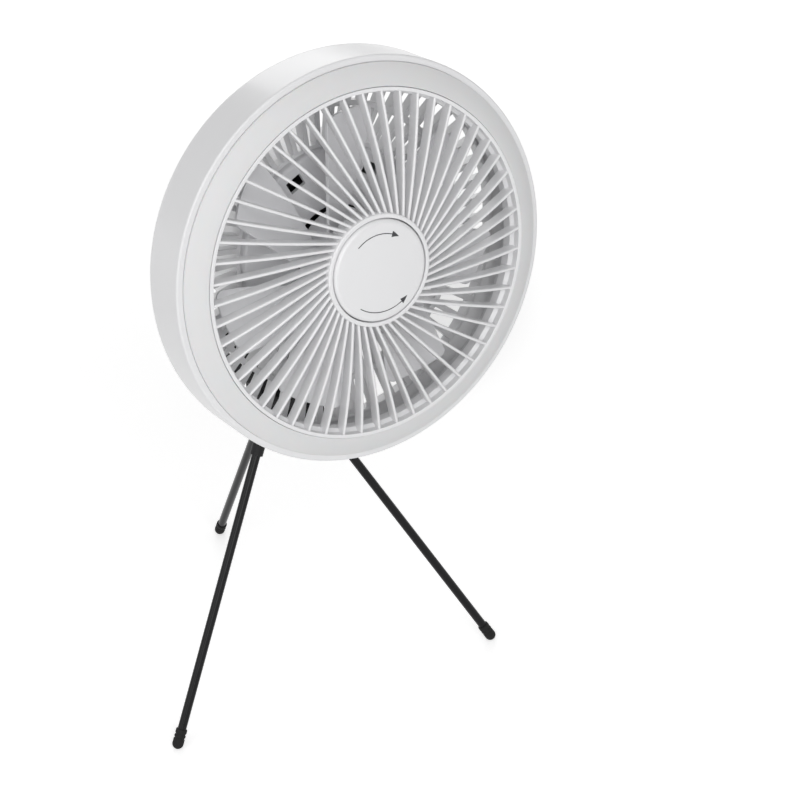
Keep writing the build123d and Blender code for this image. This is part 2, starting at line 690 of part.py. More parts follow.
def make_electronics():
    board_front = -board_depth
    board_back = -board_depth - board_thickness
    width = 2 * board_half_width
    tongue_end = cover_inner_radius - 2.0
    tongue_length = tongue_end - board_half_width + 4.0
    board = block((width, board_high - board_low, board_thickness),
                  (0, (board_high + board_low) / 2, board_front - board_thickness / 2))
    tongue = block((tongue_length, 2 * board_tongue_half_height, board_thickness),
                   (tongue_end - tongue_length / 2, 0, board_front - board_thickness / 2))
    nodes["main_board"] = board + tongue

    port_middle = board_front + usb_height / 2
    mouth = pod_radius - 0.8
    shell = extrude(SlotOverall(usb_width, usb_height) -
                    SlotOverall(usb_width - 2 * usb_wall, usb_height - 2 * usb_wall), usb_length)
    rear = extrude(SlotOverall(usb_width - usb_wall, usb_height - usb_wall), 0.8)
    stand = Rot(0, 90, 0) * Rot(0, 0, 90)
    contacts = block(usb_tongue, (0.4 + usb_tongue[0] / 2, 0, 0))
    nodes["usb_port"] = Pos(mouth - usb_length, 0, port_middle) * (stand * (shell + rear) + contacts)

    width, depth, height = switch_size
    plunger_radius, plunger_height = switch_plunger
    switch = block((width, depth, height), (0, 0, board_back - height / 2))
    switch = switch + tube(plunger_radius, 0, board_back - height - plunger_height,
                           board_back - height)
    nodes["button_switches"] = Compound([Pos(x, y, 0) * switch for x, y in button_places])

    pipe = tube(indicator_radius, 0, -pod_back - 0.2, board_back - seat_clearance)
    nodes["indicator_lights"] = Compound([Pos(x, y, 0) * pipe for x, y in indicator_places])
    width, height, depth = sensor_window
    nodes["sensor_window"] = block((width, height, depth), (0, sensor_height, -pod_back + depth / 2))


def make_buttons():
    flange_back = -cover_inner_back + face_clearance
    flange_front = flange_back + button_flange_thickness
    plunger_top = -board_depth - board_thickness - switch_size[2] - switch_plunger[1]
    stem_front = plunger_top - button_travel - face_clearance
    outer = -pod_back - button_proud
    button = turned([
        (0, outer - 0.3), (button_radius - 2.0, outer), (button_radius, outer + 0.5),
        (button_radius, flange_back), (button_radius + button_flange, flange_back),
        (button_radius + button_flange, flange_front), (1.8, flange_front), (1.8, stem_front),
        (0, stem_front),
    ])
    names = ("fan_button", "light_button", "timer_button")
    for name, (x, y) in zip(names, button_places):
        nodes[name] = Pos(x, y, 0) * button


def make_bail():
    wire_depth = -pod_back - bail_stand_off
    half = bail_half_width
    end = half + bail_corner_radius + face_clearance + bail_ear_size[0]
    low = bail_hinge_height - bail_straight
    path = FilletPolyline((end, bail_hinge_height), (half, bail_hinge_height), (half, low),
                          radius=bail_corner_radius)
    left = FilletPolyline((-half, low), (-half, bail_hinge_height), (-end, bail_hinge_height),
                          radius=bail_corner_radius)
    loop = ThreePointArc((half, low), (0, low - half), (-half, low))
    wire = Wire(path.edges() + loop.edges() + left.edges())
    section = Plane(origin=(end, bail_hinge_height, 0), z_dir=(-1, 0, 0)) * Circle(bail_wire_radius)
    nodes["hanging_bail"] = Pos(0, 0, wire_depth) * sweep(section, path=wire)


# ---- Tilting arm -------------------------------------------------------------------------------
def make_arm():
    rise = (arm_rise ** 2 + arm_lean ** 2) ** 0.5
    lean = degrees(atan2(arm_lean, arm_rise))
    frame = Plane(origin=pivot, x_dir=(1, 0, 0),
                  z_dir=(0, -cos(radians(lean)), -sin(radians(lean)))).location
    ear_inner = lug_width / 2 + tilt_washer_thickness + face_clearance
    ear_outer = arm_half_width - arm_ear_inset
    foot = -rise + arm_foot_height / 2
    neck = -rise + arm_foot_height + 4.0
    shoulder = -arm_shoulder - arm_shoulder_round
    neck_half = arm_foot_radius - arm_neck_inset
    right = [(ear_outer, ear_radius), (ear_outer, -arm_shoulder), (arm_half_width, shoulder),
             (arm_half_width, (shoulder + neck) / 2), (neck_half, neck), (neck_half, foot)]
    left = [(-x, y) for x, y in reversed(right)]
    rounds = (arm_shoulder_round, arm_shoulder_round, arm_side_round, arm_neck_round)
    corners = list(zip(range(1, 5), rounds)) + list(zip(range(7, 11), reversed(rounds)))
    front = outline(right + left, corners)
    notch = Pos(0, (ear_radius + 2 - arm_notch_depth) / 2) * Rectangle(
        2 * ear_inner, ear_radius + 2 + arm_notch_depth)
    pocket = offset(front - notch, -arm_wall) & (
        Pos(0, (shoulder + neck) / 2 - 1.0) * Rectangle(4 * arm_half_width, shoulder - neck + 6.0))
    ribs = [Pos(x, 0) * Rectangle(arm_rib_width, 4 * arm_rise) for x in (-11.0, 11.0)]

    slab = extrude(front - notch, arm_thickness / 2, both=True)
    side_view = Circle(ear_radius) + Pos(0, -rise) * Rectangle(arm_thickness, 2 * rise)
    side_plane = Plane(origin=(0, 0, 0), x_dir=(0, 0, 1), z_dir=(-1, 0, 0))
    side_mask = extrude(side_plane * side_view, 2 * arm_half_width, both=True)
    ears = extrude((front - notch) & (Pos(0, 0) * Rectangle(200, 2 * ear_radius)), ear_radius,
                   both=True)
    plate = (slab + ears) & side_mask
    plate = plate - Pos(0, 0, -arm_thickness / 2 - 1.0) * extrude(
        pocket - ribs, arm_thickness - arm_wall + 1.0)
    plate = plate - x_cylinder(tilt_pin_radius, 4 * arm_half_width, (0, 0, 0))
    for end in (-1, 1):
        head_seat = (end * (ear_outer - tilt_pin_head_height / 2), 0, 0)
        plate = plate - x_cylinder(tilt_pin_head_radius, tilt_pin_head_height, head_seat)

    disc = tube(arm_foot_radius, 0, arm_foot_bottom, arm_foot_bottom + arm_foot_height)
    disc = chamfer(disc.edges().group_by(Axis.Z)[-1], 1.5)
    insert_outer = stand_screw_radius + insert_wall
    insert_top = arm_foot_bottom + arm_foot_height + 5.0
    arm = frame * plate + disc
    nodes["tilt_arm"] = arm - tube(insert_outer, 0, arm_foot_bottom - 1, insert_top)
    nodes["brass_insert"] = tube(insert_outer, stand_screw_radius + pin_clearance,
                                 arm_foot_bottom, insert_top)

    pin_length = 2 * ear_outer - 2 * tilt_pin_head_height
    pin = x_cylinder(tilt_pin_radius, pin_length, pivot)
    for end in (-1, 1):
        head = pivot + Vector(end * (ear_outer - tilt_pin_head_height / 2), 0, 0)
        pin = pin + x_cylinder(tilt_pin_head_radius, tilt_pin_head_height, head)
    nodes["tilt_pin"] = pin
    washer_x = ear_inner - tilt_washer_thickness / 2
    washer = Rot(0, 90, 0) * (Cylinder(ear_radius - 1.4, tilt_washer_thickness) -
                              Cylinder(tilt_pin_radius, tilt_washer_thickness))
    nodes["tilt_washers"] = Compound(
        [Pos(*(pivot + Vector(end * washer_x, 0, 0))) * washer for end in (-1, 1)])


# ---- Tripod ------------------------------------------------------------------------------------
leg_names = ("left", "right", "rear")
leg_angles = [tripod_turn - 150.0 + 360.0 / leg_count * k for k in range(leg_count)]


def make_tripod_hub():
    hub = turned([
        (0, hub_top), (hub_radius, hub_top), (hub_radius, hub_bottom + 5.0),
        (hub_radius - 5.0, hub_bottom), (0, hub_bottom),
    ], [(1, hub_edge_radius), (2, hub_edge_radius), (3, hub_edge_radius)])
    slot_width = knuckle_width + 2 * face_clearance
    slot_top = leg_pin_height + hub_slot_roof
    slot_length = hub_radius * 2
    slot_height = slot_top - hub_bottom + 10.0
    slot = block((slot_length, slot_width, slot_height),
                 (hub_slot_inner + slot_length / 2, 0, slot_top - slot_height / 2))
    pin_hole = Pos(leg_pin_place, 0, leg_pin_height) * Rot(90, 0, 0) * Cylinder(
        leg_pin_radius, leg_pin_length)
    pins = [Rot(0, 0, angle) * pin_hole for angle in leg_angles]
    hub = hub - [Rot(0, 0, angle) * slot for angle in leg_angles] - pins
    screw_bottom = hub_top - stand_screw_seat
    hub = hub - tube(stand_screw_radius, 0, screw_bottom, hub_top + 1)
    nodes["tripod_hub"] = hub
    nodes["leg_pins"] = Compound(pins)
    screw = tube(stand_screw_radius, 0, screw_bottom, hub_top + stand_screw_length)
    nodes["stand_screw"] = chamfer(screw.edges().group_by(Axis.Z)[-1], 0.6)
    pad_inner = stand_screw_radius + 0.4
    nodes["swivel_pad"] = tube(swivel_pad_radius, pad_inner, hub_top, hub_top + swivel_pad_thickness)


def make_legs():
    eye = Rot(90, 0, 0) * Cylinder(knuckle_radius, knuckle_width)
    socket = Pos(0, 0, -leg_socket_length / 2) * Cylinder(leg_socket_radius, leg_socket_length)
    bore = Rot(90, 0, 0) * Cylinder(leg_pin_radius + pin_clearance, knuckle_width + 1)
    rod_top = -7.0
    rod_bottom = -leg_length + leg_tip_inset - foot_length / 2
    rod_hole = tube(leg_radius, 0, -leg_length, rod_top)
    knuckle = eye + socket - bore - rod_hole
    rod = tube(leg_radius, 0, rod_bottom, rod_top)
    foot_top = -leg_length - foot_radius + foot_length
    foot = tube(foot_radius, 0, -leg_length, foot_top) + Pos(0, 0, -leg_length) * Sphere(foot_radius)
    foot = foot - rod
    ground = block((600, 600, 20), (0, 0, -10))
    for name, angle in zip(leg_names, leg_angles):
        place = (Rot(0, 0, angle) * Pos(leg_pin_place, 0, leg_pin_height) *
                 Rot(0, -leg_splay, 0))
        nodes[f"{name}_leg"] = place * rod
        nodes[f"{name}_leg_knuckle"] = place * knuckle
        nodes[f"{name}_foot"] = place * foot - ground


# ---- Build and write ---------------------------------------------------------------------------
make_drum()
make_light()
make_duct()
make_grille()
make_scent_box()
make_impeller()
make_motor()
make_motor_housing()
make_pod_cover()
make_battery()
make_electronics()
make_buttons()
make_bail()
nodes = {name: HEAD * shape for name, shape in nodes.items()}
make_arm()
make_tripod_hub()
make_legs()
whole = Compound(list(nodes.values())).bounding_box()
to_origin = Pos(-whole.center().X, -whole.center().Y, -whole.min.Z)

os.makedirs("parts", exist_ok=True)
for name, shape in nodes.items():
    export_step(to_origin * shape, f"parts/{name}.step")
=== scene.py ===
import json
from math import atan2, copysign, cos, pi, radians, sin, sqrt, tan, tau

import bmesh
import bpy
from mathutils import Matrix, Vector, noise


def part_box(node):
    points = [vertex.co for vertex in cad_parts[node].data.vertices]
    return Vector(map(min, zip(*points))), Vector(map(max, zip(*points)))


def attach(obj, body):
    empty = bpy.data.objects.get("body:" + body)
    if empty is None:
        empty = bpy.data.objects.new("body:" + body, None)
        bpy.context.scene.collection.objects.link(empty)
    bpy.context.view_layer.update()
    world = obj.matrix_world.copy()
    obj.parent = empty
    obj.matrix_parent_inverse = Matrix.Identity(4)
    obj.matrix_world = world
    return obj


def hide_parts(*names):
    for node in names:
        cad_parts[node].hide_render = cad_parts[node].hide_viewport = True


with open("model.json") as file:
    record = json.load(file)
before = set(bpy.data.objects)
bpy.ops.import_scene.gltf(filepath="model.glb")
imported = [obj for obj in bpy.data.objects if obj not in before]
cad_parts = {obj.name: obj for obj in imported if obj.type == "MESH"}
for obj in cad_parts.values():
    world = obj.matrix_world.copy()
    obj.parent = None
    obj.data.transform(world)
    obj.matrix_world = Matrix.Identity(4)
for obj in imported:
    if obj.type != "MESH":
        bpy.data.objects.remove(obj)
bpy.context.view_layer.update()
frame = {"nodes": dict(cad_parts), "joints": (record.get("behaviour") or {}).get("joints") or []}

nodes = frame["nodes"]
joints = {joint["name"]: joint for joint in frame["joints"]}

# ---- Studio --------------------------
# Pale table, white surroundings and three large soft lamps, with a long lens looking down at the
# fan from its front left. The camera sees table and room as white, apart from the fan's shadow and
# a soft painted shade on the table behind the fan.
camera_place = Vector((-0.5000, -0.9274, 0.8644))
camera_look = Vector((0.4424, 0.7063, -0.5527)).normalized()
camera_up = Vector((0.3136, 0.4556, 0.8331))
lens_length = 101.25
table_reach = 4.0
# light that the table gives off itself near the fan, and the distances over which it grows to 1
table_glow = 0.46
glow_growth = (0.6, 2.2)
# the painted shade: an ellipse that is darkest within a share of its reach
shade_place, shade_reach = (0.27, 0.30, 0.0), (0.18, 0.12, 1.0)
shade_level, shade_core = 0.5, 0.3
room_light = 0.38
aim = Vector((0.0, -0.05, 0.25))
# name: (place, width, height, watts)
lamps = {
    "side_lamp": ((-2.0, -0.5, 1.2), 1.4, 1.4, 8.0),
    "front_lamp": ((-0.7, -1.9, 1.3), 1.8, 1.8, 25.0),
    "back_lamp": ((0.9, 1.9, 1.2), 1.4, 1.2, 10.0),
}


def node(tree, kind, inputs=None, **settings):
    """New node; an input takes a plain value, or another node's output to link from."""
    made = tree.nodes.new(kind)
    for name, value in settings.items():
        setattr(made, name, value)
    for name, value in (inputs or {}).items():
        if isinstance(value, bpy.types.NodeSocket):
            tree.links.new(value, made.inputs[name])
        else:
            made.inputs[name].default_value = value
    return made


def worked(tree, operation, *values):
    """Result of a Math node on up to three values or sockets."""
    return node(tree, "ShaderNodeMath", dict(enumerate(values)), operation=operation).outputs[0]


def length(tree, vector):
    """Distance of a place from zero."""
    return node(tree, "ShaderNodeVectorMath", {0: vector}, operation="LENGTH").outputs["Value"]


def ranged(tree, value, given, wanted, **settings):
    """A value carried over from one range to another."""
    inputs = {"Value": value, "From Min": given[0], "From Max": given[1],
              "To Min": wanted[0], "To Max": wanted[1]}
    return node(tree, "ShaderNodeMapRange", inputs, **settings).outputs[0]


def mixed(tree, share, low, high):
    """Colour between two others, at a share from 0 to 1."""
    return node(tree, "ShaderNodeMix", {"Factor": share, 6: low, 7: high},
                data_type="RGBA").outputs[2]


def straight_light(tree):
    """Is 1 for what the camera sees itself, in a mirror or through glass."""
    path = node(tree, "ShaderNodeLightPath").outputs
    first = worked(tree, "MAXIMUM", path["Is Camera Ray"], path["Is Glossy Ray"])
    return worked(tree, "MAXIMUM", first, path["Is Transmission Ray"])


def placed(name, data):
    """New object in the scene."""
    made = bpy.data.objects.new(name, data)
    scene.collection.objects.link(made)
    return made


scene = bpy.context.scene
scene.view_settings.view_transform = "Standard"
across = camera_look.cross(camera_up).normalized()
turn = Matrix((across, across.cross(camera_look), -camera_look)).transposed()
lens = bpy.data.cameras.new("camera")
lens.lens = lens_length
lens.sensor_width = 36.0
camera = placed("camera", lens)
camera.matrix_world = Matrix.Translation(camera_place) @ turn.to_4x4()
scene.camera = camera

for name, (place, width, height, watts) in lamps.items():
    lamp = bpy.data.lights.new(name, "AREA")
    lamp.shape = "RECTANGLE"
    lamp.size, lamp.size_y, lamp.energy = width, height, watts
    holder = placed(name, lamp)
    holder.location = place
    holder.rotation_euler = (aim - Vector(place)).to_track_quat("-Z", "Y").to_euler()

world = bpy.data.worlds.new("white_room")
scene.world = world
world.use_nodes = True
room = world.node_tree
strength = ranged(room, straight_light(room), (0.0, 1.0), (room_light, 1.0))
room.nodes["Background"].inputs["Color"].default_value = (1.0, 1.0, 1.0, 1.0)
room.links.new(strength, room.nodes["Background"].inputs["Strength"])

table_mesh = bpy.data.meshes.new("table")
far = table_reach
table_mesh.from_pydata([(-far, -far, 0), (far, -far, 0), (far, far, 0), (-far, far, 0)], [],
                       [(0, 1, 2, 3)])
table = placed("table", table_mesh)
paper = bpy.data.materials.new("table_paper")
paper.use_nodes = True
tree = paper.node_tree
tree.nodes.clear()
fibres = node(tree, "ShaderNodeTexNoise", {"Scale": 60.0, "Detail": 4.0}).outputs["Fac"]
tone = mixed(tree, fibres, (0.84, 0.84, 0.84, 1), (0.86, 0.86, 0.86, 1))
matt = node(tree, "ShaderNodeBsdfDiffuse", {"Color": tone})
place = node(tree, "ShaderNodeTexCoord").outputs["Object"]
spot = node(tree, "ShaderNodeMapping", {
    "Vector": place, "Location": shade_place, "Scale": shade_reach,
    "Rotation": (0.0, 0.0, atan2(camera_look.y, camera_look.x))}, vector_type="TEXTURE").outputs[0]
shade = ranged(tree, length(tree, spot), (shade_core, 1.0), (shade_level, 1.0),
               interpolation_type="SMOOTHSTEP")
far_glow = ranged(tree, length(tree, place), glow_growth, (table_glow, 1.0))
glow = worked(tree, "MULTIPLY", worked(tree, "MULTIPLY", straight_light(tree), far_glow), shade)
shine = node(tree, "ShaderNodeEmission", {"Strength": glow})
both = node(tree, "ShaderNodeAddShader", {0: matt.outputs[0], 1: shine.outputs[0]})
node(tree, "ShaderNodeOutputMaterial", {"Surface": both.outputs[0]})
table_mesh.materials.append(paper)

# ---- Drum shell ----------------------
# Outer casing of the head: one glossy white ABS moulding with a rim round the light ring, two rings
# of air slots in a coned rear wall, and a collar for the pod. Like the rest of the head it is drawn
# in millimetres from the middle of the front rim: z forward along the fan's axis, y up.
rim_radius, rim_inner_radius = 105.0, 101.6
drum_wall, drum_depth = 2.4, 34.0
rear_edge_radius, rear_wall, rear_cone = 8.0, 2.6, 6.0
collar_radius, collar_inner_radius = 53.0, 50.4
collar_front, collar_back = 33.4, 43.4
ledge_depth, ledge_thickness, ledge_inner_radius = 8.4, 1.8, 99.0
slot_count = 52
slot_rings = ((75.75, 93.5), (55.0, 72.75))
rib_depth, slot_rim = 6.6, 94.9
rib_inner_width, rib_outer_width = 2.7, 3.4
# corner of the front outline: radius of its arc
drum_edges = {1: 0.4, 2: 0.3, 3: 1.1, 4: 7.8}
# half of a corner's angle, in radians, above which it stays as it is
nearly_straight = 1.55

mm = 0.001
fan_axis = Vector(joints["impeller_spin"]["axis"]).normalized()
head_right = Vector((1.0, 0.0, 0.0))
cap_place = 14.6
rim_centre = Vector(joints["cap_twist"]["pos_m"]) - fan_axis * cap_place * mm
head_turn = Matrix((head_right, fan_axis.cross(head_right), fan_axis)).transposed()
in_head = Matrix.Translation(rim_centre) @ head_turn.to_4x4() @ Matrix.Scale(mm, 4)


def sockets(group, way, rows):
    """Named inputs or outputs of a node group; a row may end with the value that it starts with."""
    for name, kind, *value in rows:
        made = group.interface.new_socket(name, in_out=way, socket_type=f"NodeSocket{kind}")
        if value:
            made.default_value = value[0]


def effect(name, own_inputs, masks):
    """Shader group that varies a surface by three masks: of its tone, its gloss and its height."""
    group = bpy.data.node_groups.new(name, "ShaderNodeTree")
    sockets(group, "INPUT", (("Color", "Color"), ("Tone Spread", "Float"), ("Roughness", "Float"),
                             ("Gloss Spread", "Float"), ("Depth", "Float"), *own_inputs))
    sockets(group, "OUTPUT", (("Color", "Color"), ("Roughness", "Float"), ("Normal", "Vector")))
    given = node(group, "NodeGroupInput").outputs
    place = node(group, "ShaderNodeTexCoord").outputs["Object"]
    tone, smear, height = masks(group, given, place)
    dark = worked(group, "SUBTRACT", 1.0, given["Tone Spread"])
    low = node(group, "ShaderNodeVectorMath", {0: given["Color"], "Scale": dark}, operation="SCALE")
    gloss = worked(group, "MULTIPLY_ADD", worked(group, "SUBTRACT", smear, 0.5),
                   given["Gloss Spread"], given["Roughness"])
    bump = node(group, "ShaderNodeBump", {"Height": height, "Distance": given["Depth"]})
    node(group, "NodeGroupOutput", {
        "Color": mixed(group, tone, low.outputs[0], given["Color"]), "Roughness": gloss,
        "Normal": bump.outputs[0]})
    return group


def skin_masks(group, given, place):
    """Uneven tone, uneven gloss and a fine grain."""
    pitch = worked(group, "DIVIDE", 1.0, given["Grain Size"])
    return [node(group, "ShaderNodeTexNoise", {"Vector": place, **inputs}).outputs["Fac"]
            for inputs in ({"Scale": 22.0, "Detail": 4.0, "Roughness": 0.6},
                           {"Scale": 95.0, "Detail": 3.0, "Distortion": 0.8},
                           {"Scale": pitch, "Detail": 2.0})]


moulded_skin = effect("moulded_skin", (("Grain Size", "Float", 0.0006),), skin_masks)


def surfaced(name, group, values, shader):
    """Material that an effect's group colours; shader holds constants of its Principled BSDF."""
    material = bpy.data.materials.new(name)
    material.use_nodes = True
    tree = material.node_tree
    skin = node(tree, "ShaderNodeGroup", values, node_tree=group)
    surface = tree.nodes["Principled BSDF"]
    for output, socket in zip(skin.outputs, ("Base Color", "Roughness", "Normal")):
        tree.links.new(output, surface.inputs[socket])
    for socket, value in shader.items():
        surface.inputs[socket.replace("_", " ")].default_value = value
    return material


def moulded(name, colour, roughness=0.35, grain=0.00001, grain_size=0.0006, tone=0.03, gloss=0.08,
            **shader):
    """Material of a moulded or painted piece."""
    values = {"Color": (*colour, 1.0), "Roughness": roughness, "Depth": grain,
              "Grain Size": grain_size, "Tone Spread": tone, "Gloss Spread": gloss}
    return surfaced(name, moulded_skin, values, shader)


def polar(radius, angle, height):
    """Point at an angle round z."""
    return radius * cos(angle), radius * sin(angle), height


def rounded(points, edge=0.3, own=None, steps=3):
    """Closed outline with every corner an arc; own holds the radius of single corners."""
    outline = []
    for index, point in enumerate(points):
        corner = Vector(point)
        radius = (own or {}).get(index, edge)
        before = (Vector(points[index - 1]) - corner).normalized()
        after = (Vector(points[(index + 1) % len(points)]) - corner).normalized()
        half = before.angle(after) / 2
        if radius == 0 or corner.x == 0 or half > nearly_straight:
            outline.append(tuple(corner))
            continue
        centre = corner + (before + after).normalized() * radius / sin(half)
        start = corner + before * radius / tan(half) - centre
        end = corner + after * radius / tan(half) - centre
        outline += [tuple(centre + start.slerp(end, step / steps) * radius)
                    for step in range(steps + 1)]
    return outline


def body_of(mesh):
    """Bmesh body of a mesh."""
    body = bmesh.new()
    body.from_mesh(mesh)
    return body


def as_mesh(name, *bodies):
    """One mesh from closed bmesh bodies, faces outwards."""
    joined = bmesh.new()
    for body in bodies:
        bmesh.ops.recalc_face_normals(body, faces=body.faces)
        part = bpy.data.meshes.new(name)
        body.to_mesh(part)
        body.free()
        joined.from_mesh(part)
        bpy.data.meshes.remove(part)
    mesh = bpy.data.meshes.new(name)
    joined.to_mesh(mesh)
    joined.free()
    return mesh


def fit(name, mesh, material, place, body, replaced, edge=0.0, sharp=42.0):
    """Puts a drawn mesh in place as a piece of the fan, with edges of a bevel width in metres."""
    mesh.transform(place)
    mesh.materials.clear()
    mesh.materials.append(material)
    mesh.polygons.foreach_set("use_smooth", [True] * len(mesh.polygons))
    mesh.set_sharp_from_angle(angle=radians(sharp))
    piece = placed(name, mesh)
    if edge:
        bevel = piece.modifiers.new("edge", "BEVEL")
        bevel.width, bevel.segments, bevel.angle_limit = edge, 2, radians(sharp)
        bevel.harden_normals = False
    piece.modifiers.new("facing", "WEIGHTED_NORMAL").keep_sharp = True
    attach(piece, body)
    if replaced:
        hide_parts(*replaced)
    return piece


def repeat_tree():
    """Copies of the host's mesh evenly round z, joined where they meet."""
    group = bpy.data.node_groups.new("copies_round_axis", "GeometryNodeTree")
    sockets(group, "INPUT", (("Geometry", "Geometry"), ("Count", "Int", 6), ("Start", "Float", 0.0),
                             ("Join Distance", "Float", 0.0), ("Material", "Material")))
    sockets(group, "OUTPUT", (("Geometry", "Geometry"),))
    given = node(group, "NodeGroupInput").outputs
    points = node(group, "GeometryNodePoints", {"Count": given["Count"]})
    angle = worked(group, "MULTIPLY_ADD", node(group, "GeometryNodeInputIndex").outputs[0],
                   worked(group, "DIVIDE", tau, given["Count"]), given["Start"])
    euler = node(group, "ShaderNodeCombineXYZ", {"Z": angle})
    turning = node(group, "FunctionNodeEulerToRotation", {0: euler.outputs[0]})
    chain = node(group, "GeometryNodeInstanceOnPoints", {
        "Points": points.outputs[0], "Instance": given["Geometry"], "Rotation": turning.outputs[0]})
    for kind, inputs in (("RealizeInstances", {}),
                         ("MergeByDistance", {"Distance": given["Join Distance"]}),
                         ("SetMaterial", {"Material": given["Material"]})):
        chain = node(group, f"GeometryNode{kind}", {"Geometry": chain.outputs[0], **inputs})
    node(group, "NodeGroupOutput", {"Geometry": chain.outputs[0]})
    return group


copies_round_axis = repeat_tree()


def evaluated(host):
    """Mesh of an object with its modifiers applied; the object is removed."""
    graph = bpy.context.evaluated_depsgraph_get()
    made = bpy.data.meshes.new_from_object(host.evaluated_get(graph))
    bpy.data.objects.remove(host)
    return made


def repeated(mesh, count, start=0.0, join=0.0, material=None):
    """Mesh of count copies of a mesh round z; start is in degrees."""
    host = placed("host", mesh)
    modifier = host.modifiers.new("copies", "NODES")
    modifier.node_group = copies_round_axis
    values = {"Count": count, "Start": radians(start), "Join Distance": join, "Material": material}
    for socket in copies_round_axis.interface.items_tree:
        if socket.in_out == "INPUT" and socket.name in values:
            modifier[socket.identifier] = values[socket.name]
    return evaluated(host)


def cone_height(radius):
    """Height of the drum's rear cone at a radius."""
    edge = rim_radius - rear_edge_radius
    return -drum_depth - rear_cone * (edge - radius) / (edge - collar_radius)


def slot_half_angle(radius):
    """Half the angle that an air slot takes up between two ribs, which widen outwards."""
    inner, outer = slot_rings[1][0], slot_rings[0][1]
    held = min(max(radius, inner), outer)
    share = (held - inner) / (outer - inner)
    width = rib_inner_width + (rib_outer_width - rib_inner_width) * share
    return pi / slot_count - width / 2 / held


def rib_height(radius):
    """Height of the ribs' front edges, a cone from the collar to the slots' outer ends."""
    end = cone_height(slot_rim) + rib_depth
    share = (radius - collar_radius) / (slot_rim - collar_radius)
    return -collar_front + (end + collar_front) * share


def drum_sector():
    """One slot's share of the drum, open at its two cut sides, where the copies meet."""
    edge = rim_radius - rear_edge_radius
    slot_radii = [radius for ring in slot_rings for radius in reversed(ring)]
    outside = [(radius, cone_height(radius)) for radius in slot_radii]
    inside = [(radius, rib_height(radius)) for radius in reversed(slot_radii)]
    shell_inner = rim_radius - drum_wall
    front = [(ledge_inner_radius, -ledge_depth), (rim_inner_radius, -ledge_depth),
             (rim_inner_radius, 0.0), (rim_radius, 0.0), (rim_radius, -drum_depth),
             (edge, -drum_depth)]
    collar = [(collar_radius, cone_height(collar_radius)), (collar_radius, -collar_back),
              (collar_inner_radius, -collar_back), (collar_inner_radius, -collar_front),
              (collar_radius, -collar_front)]
    back = [(slot_rim, rib_height(slot_rim)), (slot_rim, cone_height(slot_rim) + rear_wall),
            (edge, -drum_depth + rear_wall), (shell_inner, -drum_depth + rear_edge_radius),
            (shell_inner, -ledge_depth - ledge_thickness),
            (ledge_inner_radius, -ledge_depth - ledge_thickness)]
    front_arcs = rounded(front + outside[:1] + back[-1:], 0.0, drum_edges, steps=6)[:-2]
    profile = front_arcs + outside + collar + inside + back
    first_out = len(front_arcs)
    first_in = first_out + len(outside) + len(collar)
    pitch = tau / slot_count
    body = bmesh.new()
    rows = []
    for radius, height in profile:
        half = slot_half_angle(radius)
        angles = (-pitch / 2, -half, -half / 3, half / 3, half, pitch / 2)
        rows.append([body.verts.new(polar(radius, angle, height)) for angle in angles])
    open_rows = {first_out, first_out + 2, first_in, first_in + 2}
    for index, (row, after) in enumerate(zip(rows, rows[1:] + rows[:1])):
        for k in range(5):
            if not (index in open_rows and 0 < k < 4):
                body.faces.new((row[k], row[k + 1], after[k + 1], after[k]))
    for outer, inner in ((first_out, first_in + 2), (first_out + 2, first_in)):
        high, low, deep_low, deep_high = rows[outer], rows[outer + 1], rows[inner], rows[inner + 1]
        for k in (1, 4):
            body.faces.new((high[k], low[k], deep_low[k], deep_high[k]))
        for k in range(1, 4):
            body.faces.new((high[k], high[k + 1], deep_high[k + 1], deep_high[k]))
            body.faces.new((low[k], low[k + 1], deep_low[k + 1], deep_low[k]))
    return body


drum_white = moulded("drum_white", (0.80, 0.80, 0.81), roughness=0.32, Coat_Weight=0.25,
                     Coat_Roughness=0.2)
shell = repeated(as_mesh("drum_sector", drum_sector()), slot_count, 180.0 / slot_count, join=0.01,
                 material=drum_white)
fit("drum_casing", as_mesh("drum_casing", body_of(shell)), drum_white, in_head, "head",
    ["drum_shell"], edge=0.25 * mm)

# ---- Light ring ----------------------
# Frosted polycarbonate channel over the ring of light chips. It rises towards the grille with a
# slight crown and snaps into the drum behind the rim. Board, chips and duct stay hidden behind it.
ring_inner_radius, ring_outer_radius = 90.5, 101.53
ring_inner_front, ring_outer_front = 6.0, 1.0
ring_crown, ring_skin, ring_foot = 0.7, 1.7, -6.8
ring_inner_edge, ring_outer_edge = 0.3, 0.2


def turned(outline, steps=260):
    """Closed outline of (radius, height) points turned about z; a point on the axis is a pole."""
    body = bmesh.new()
    rings = []
    for radius, height in outline:
        count = 1 if radius == 0 else steps
        ring = [body.verts.new(polar(radius, tau * k / steps, height)) for k in range(count)]
        rings.append(ring * (steps // count))
    for first, second in zip(rings, rings[1:] + rings[:1]):
        for k in range(steps):
            after = (k + 1) % steps
            corners = dict.fromkeys((first[k], first[after], second[after], second[k]))
            if len(corners) > 2:
                body.faces.new(list(corners))
    return body


def arc(start, middle, end, steps):
    """Points on the circle through three (radius, height) points, both ends included."""
    a, b, c = Vector(start), Vector(middle), Vector(end)
    d = 2 * (a.x * (b.y - c.y) + b.x * (c.y - a.y) + c.x * (a.y - b.y))
    x = (a.length_squared * (b.y - c.y) + b.length_squared * (c.y - a.y)
         + c.length_squared * (a.y - b.y)) / d
    y = (a.length_squared * (c.x - b.x) + b.length_squared * (a.x - c.x)
         + c.length_squared * (b.x - a.x)) / d
    centre = Vector((x, y))
    radius = (a - centre).length
    return [tuple(centre + (a - centre).slerp(c - centre, step / steps) * radius)
            for step in range(steps + 1)]


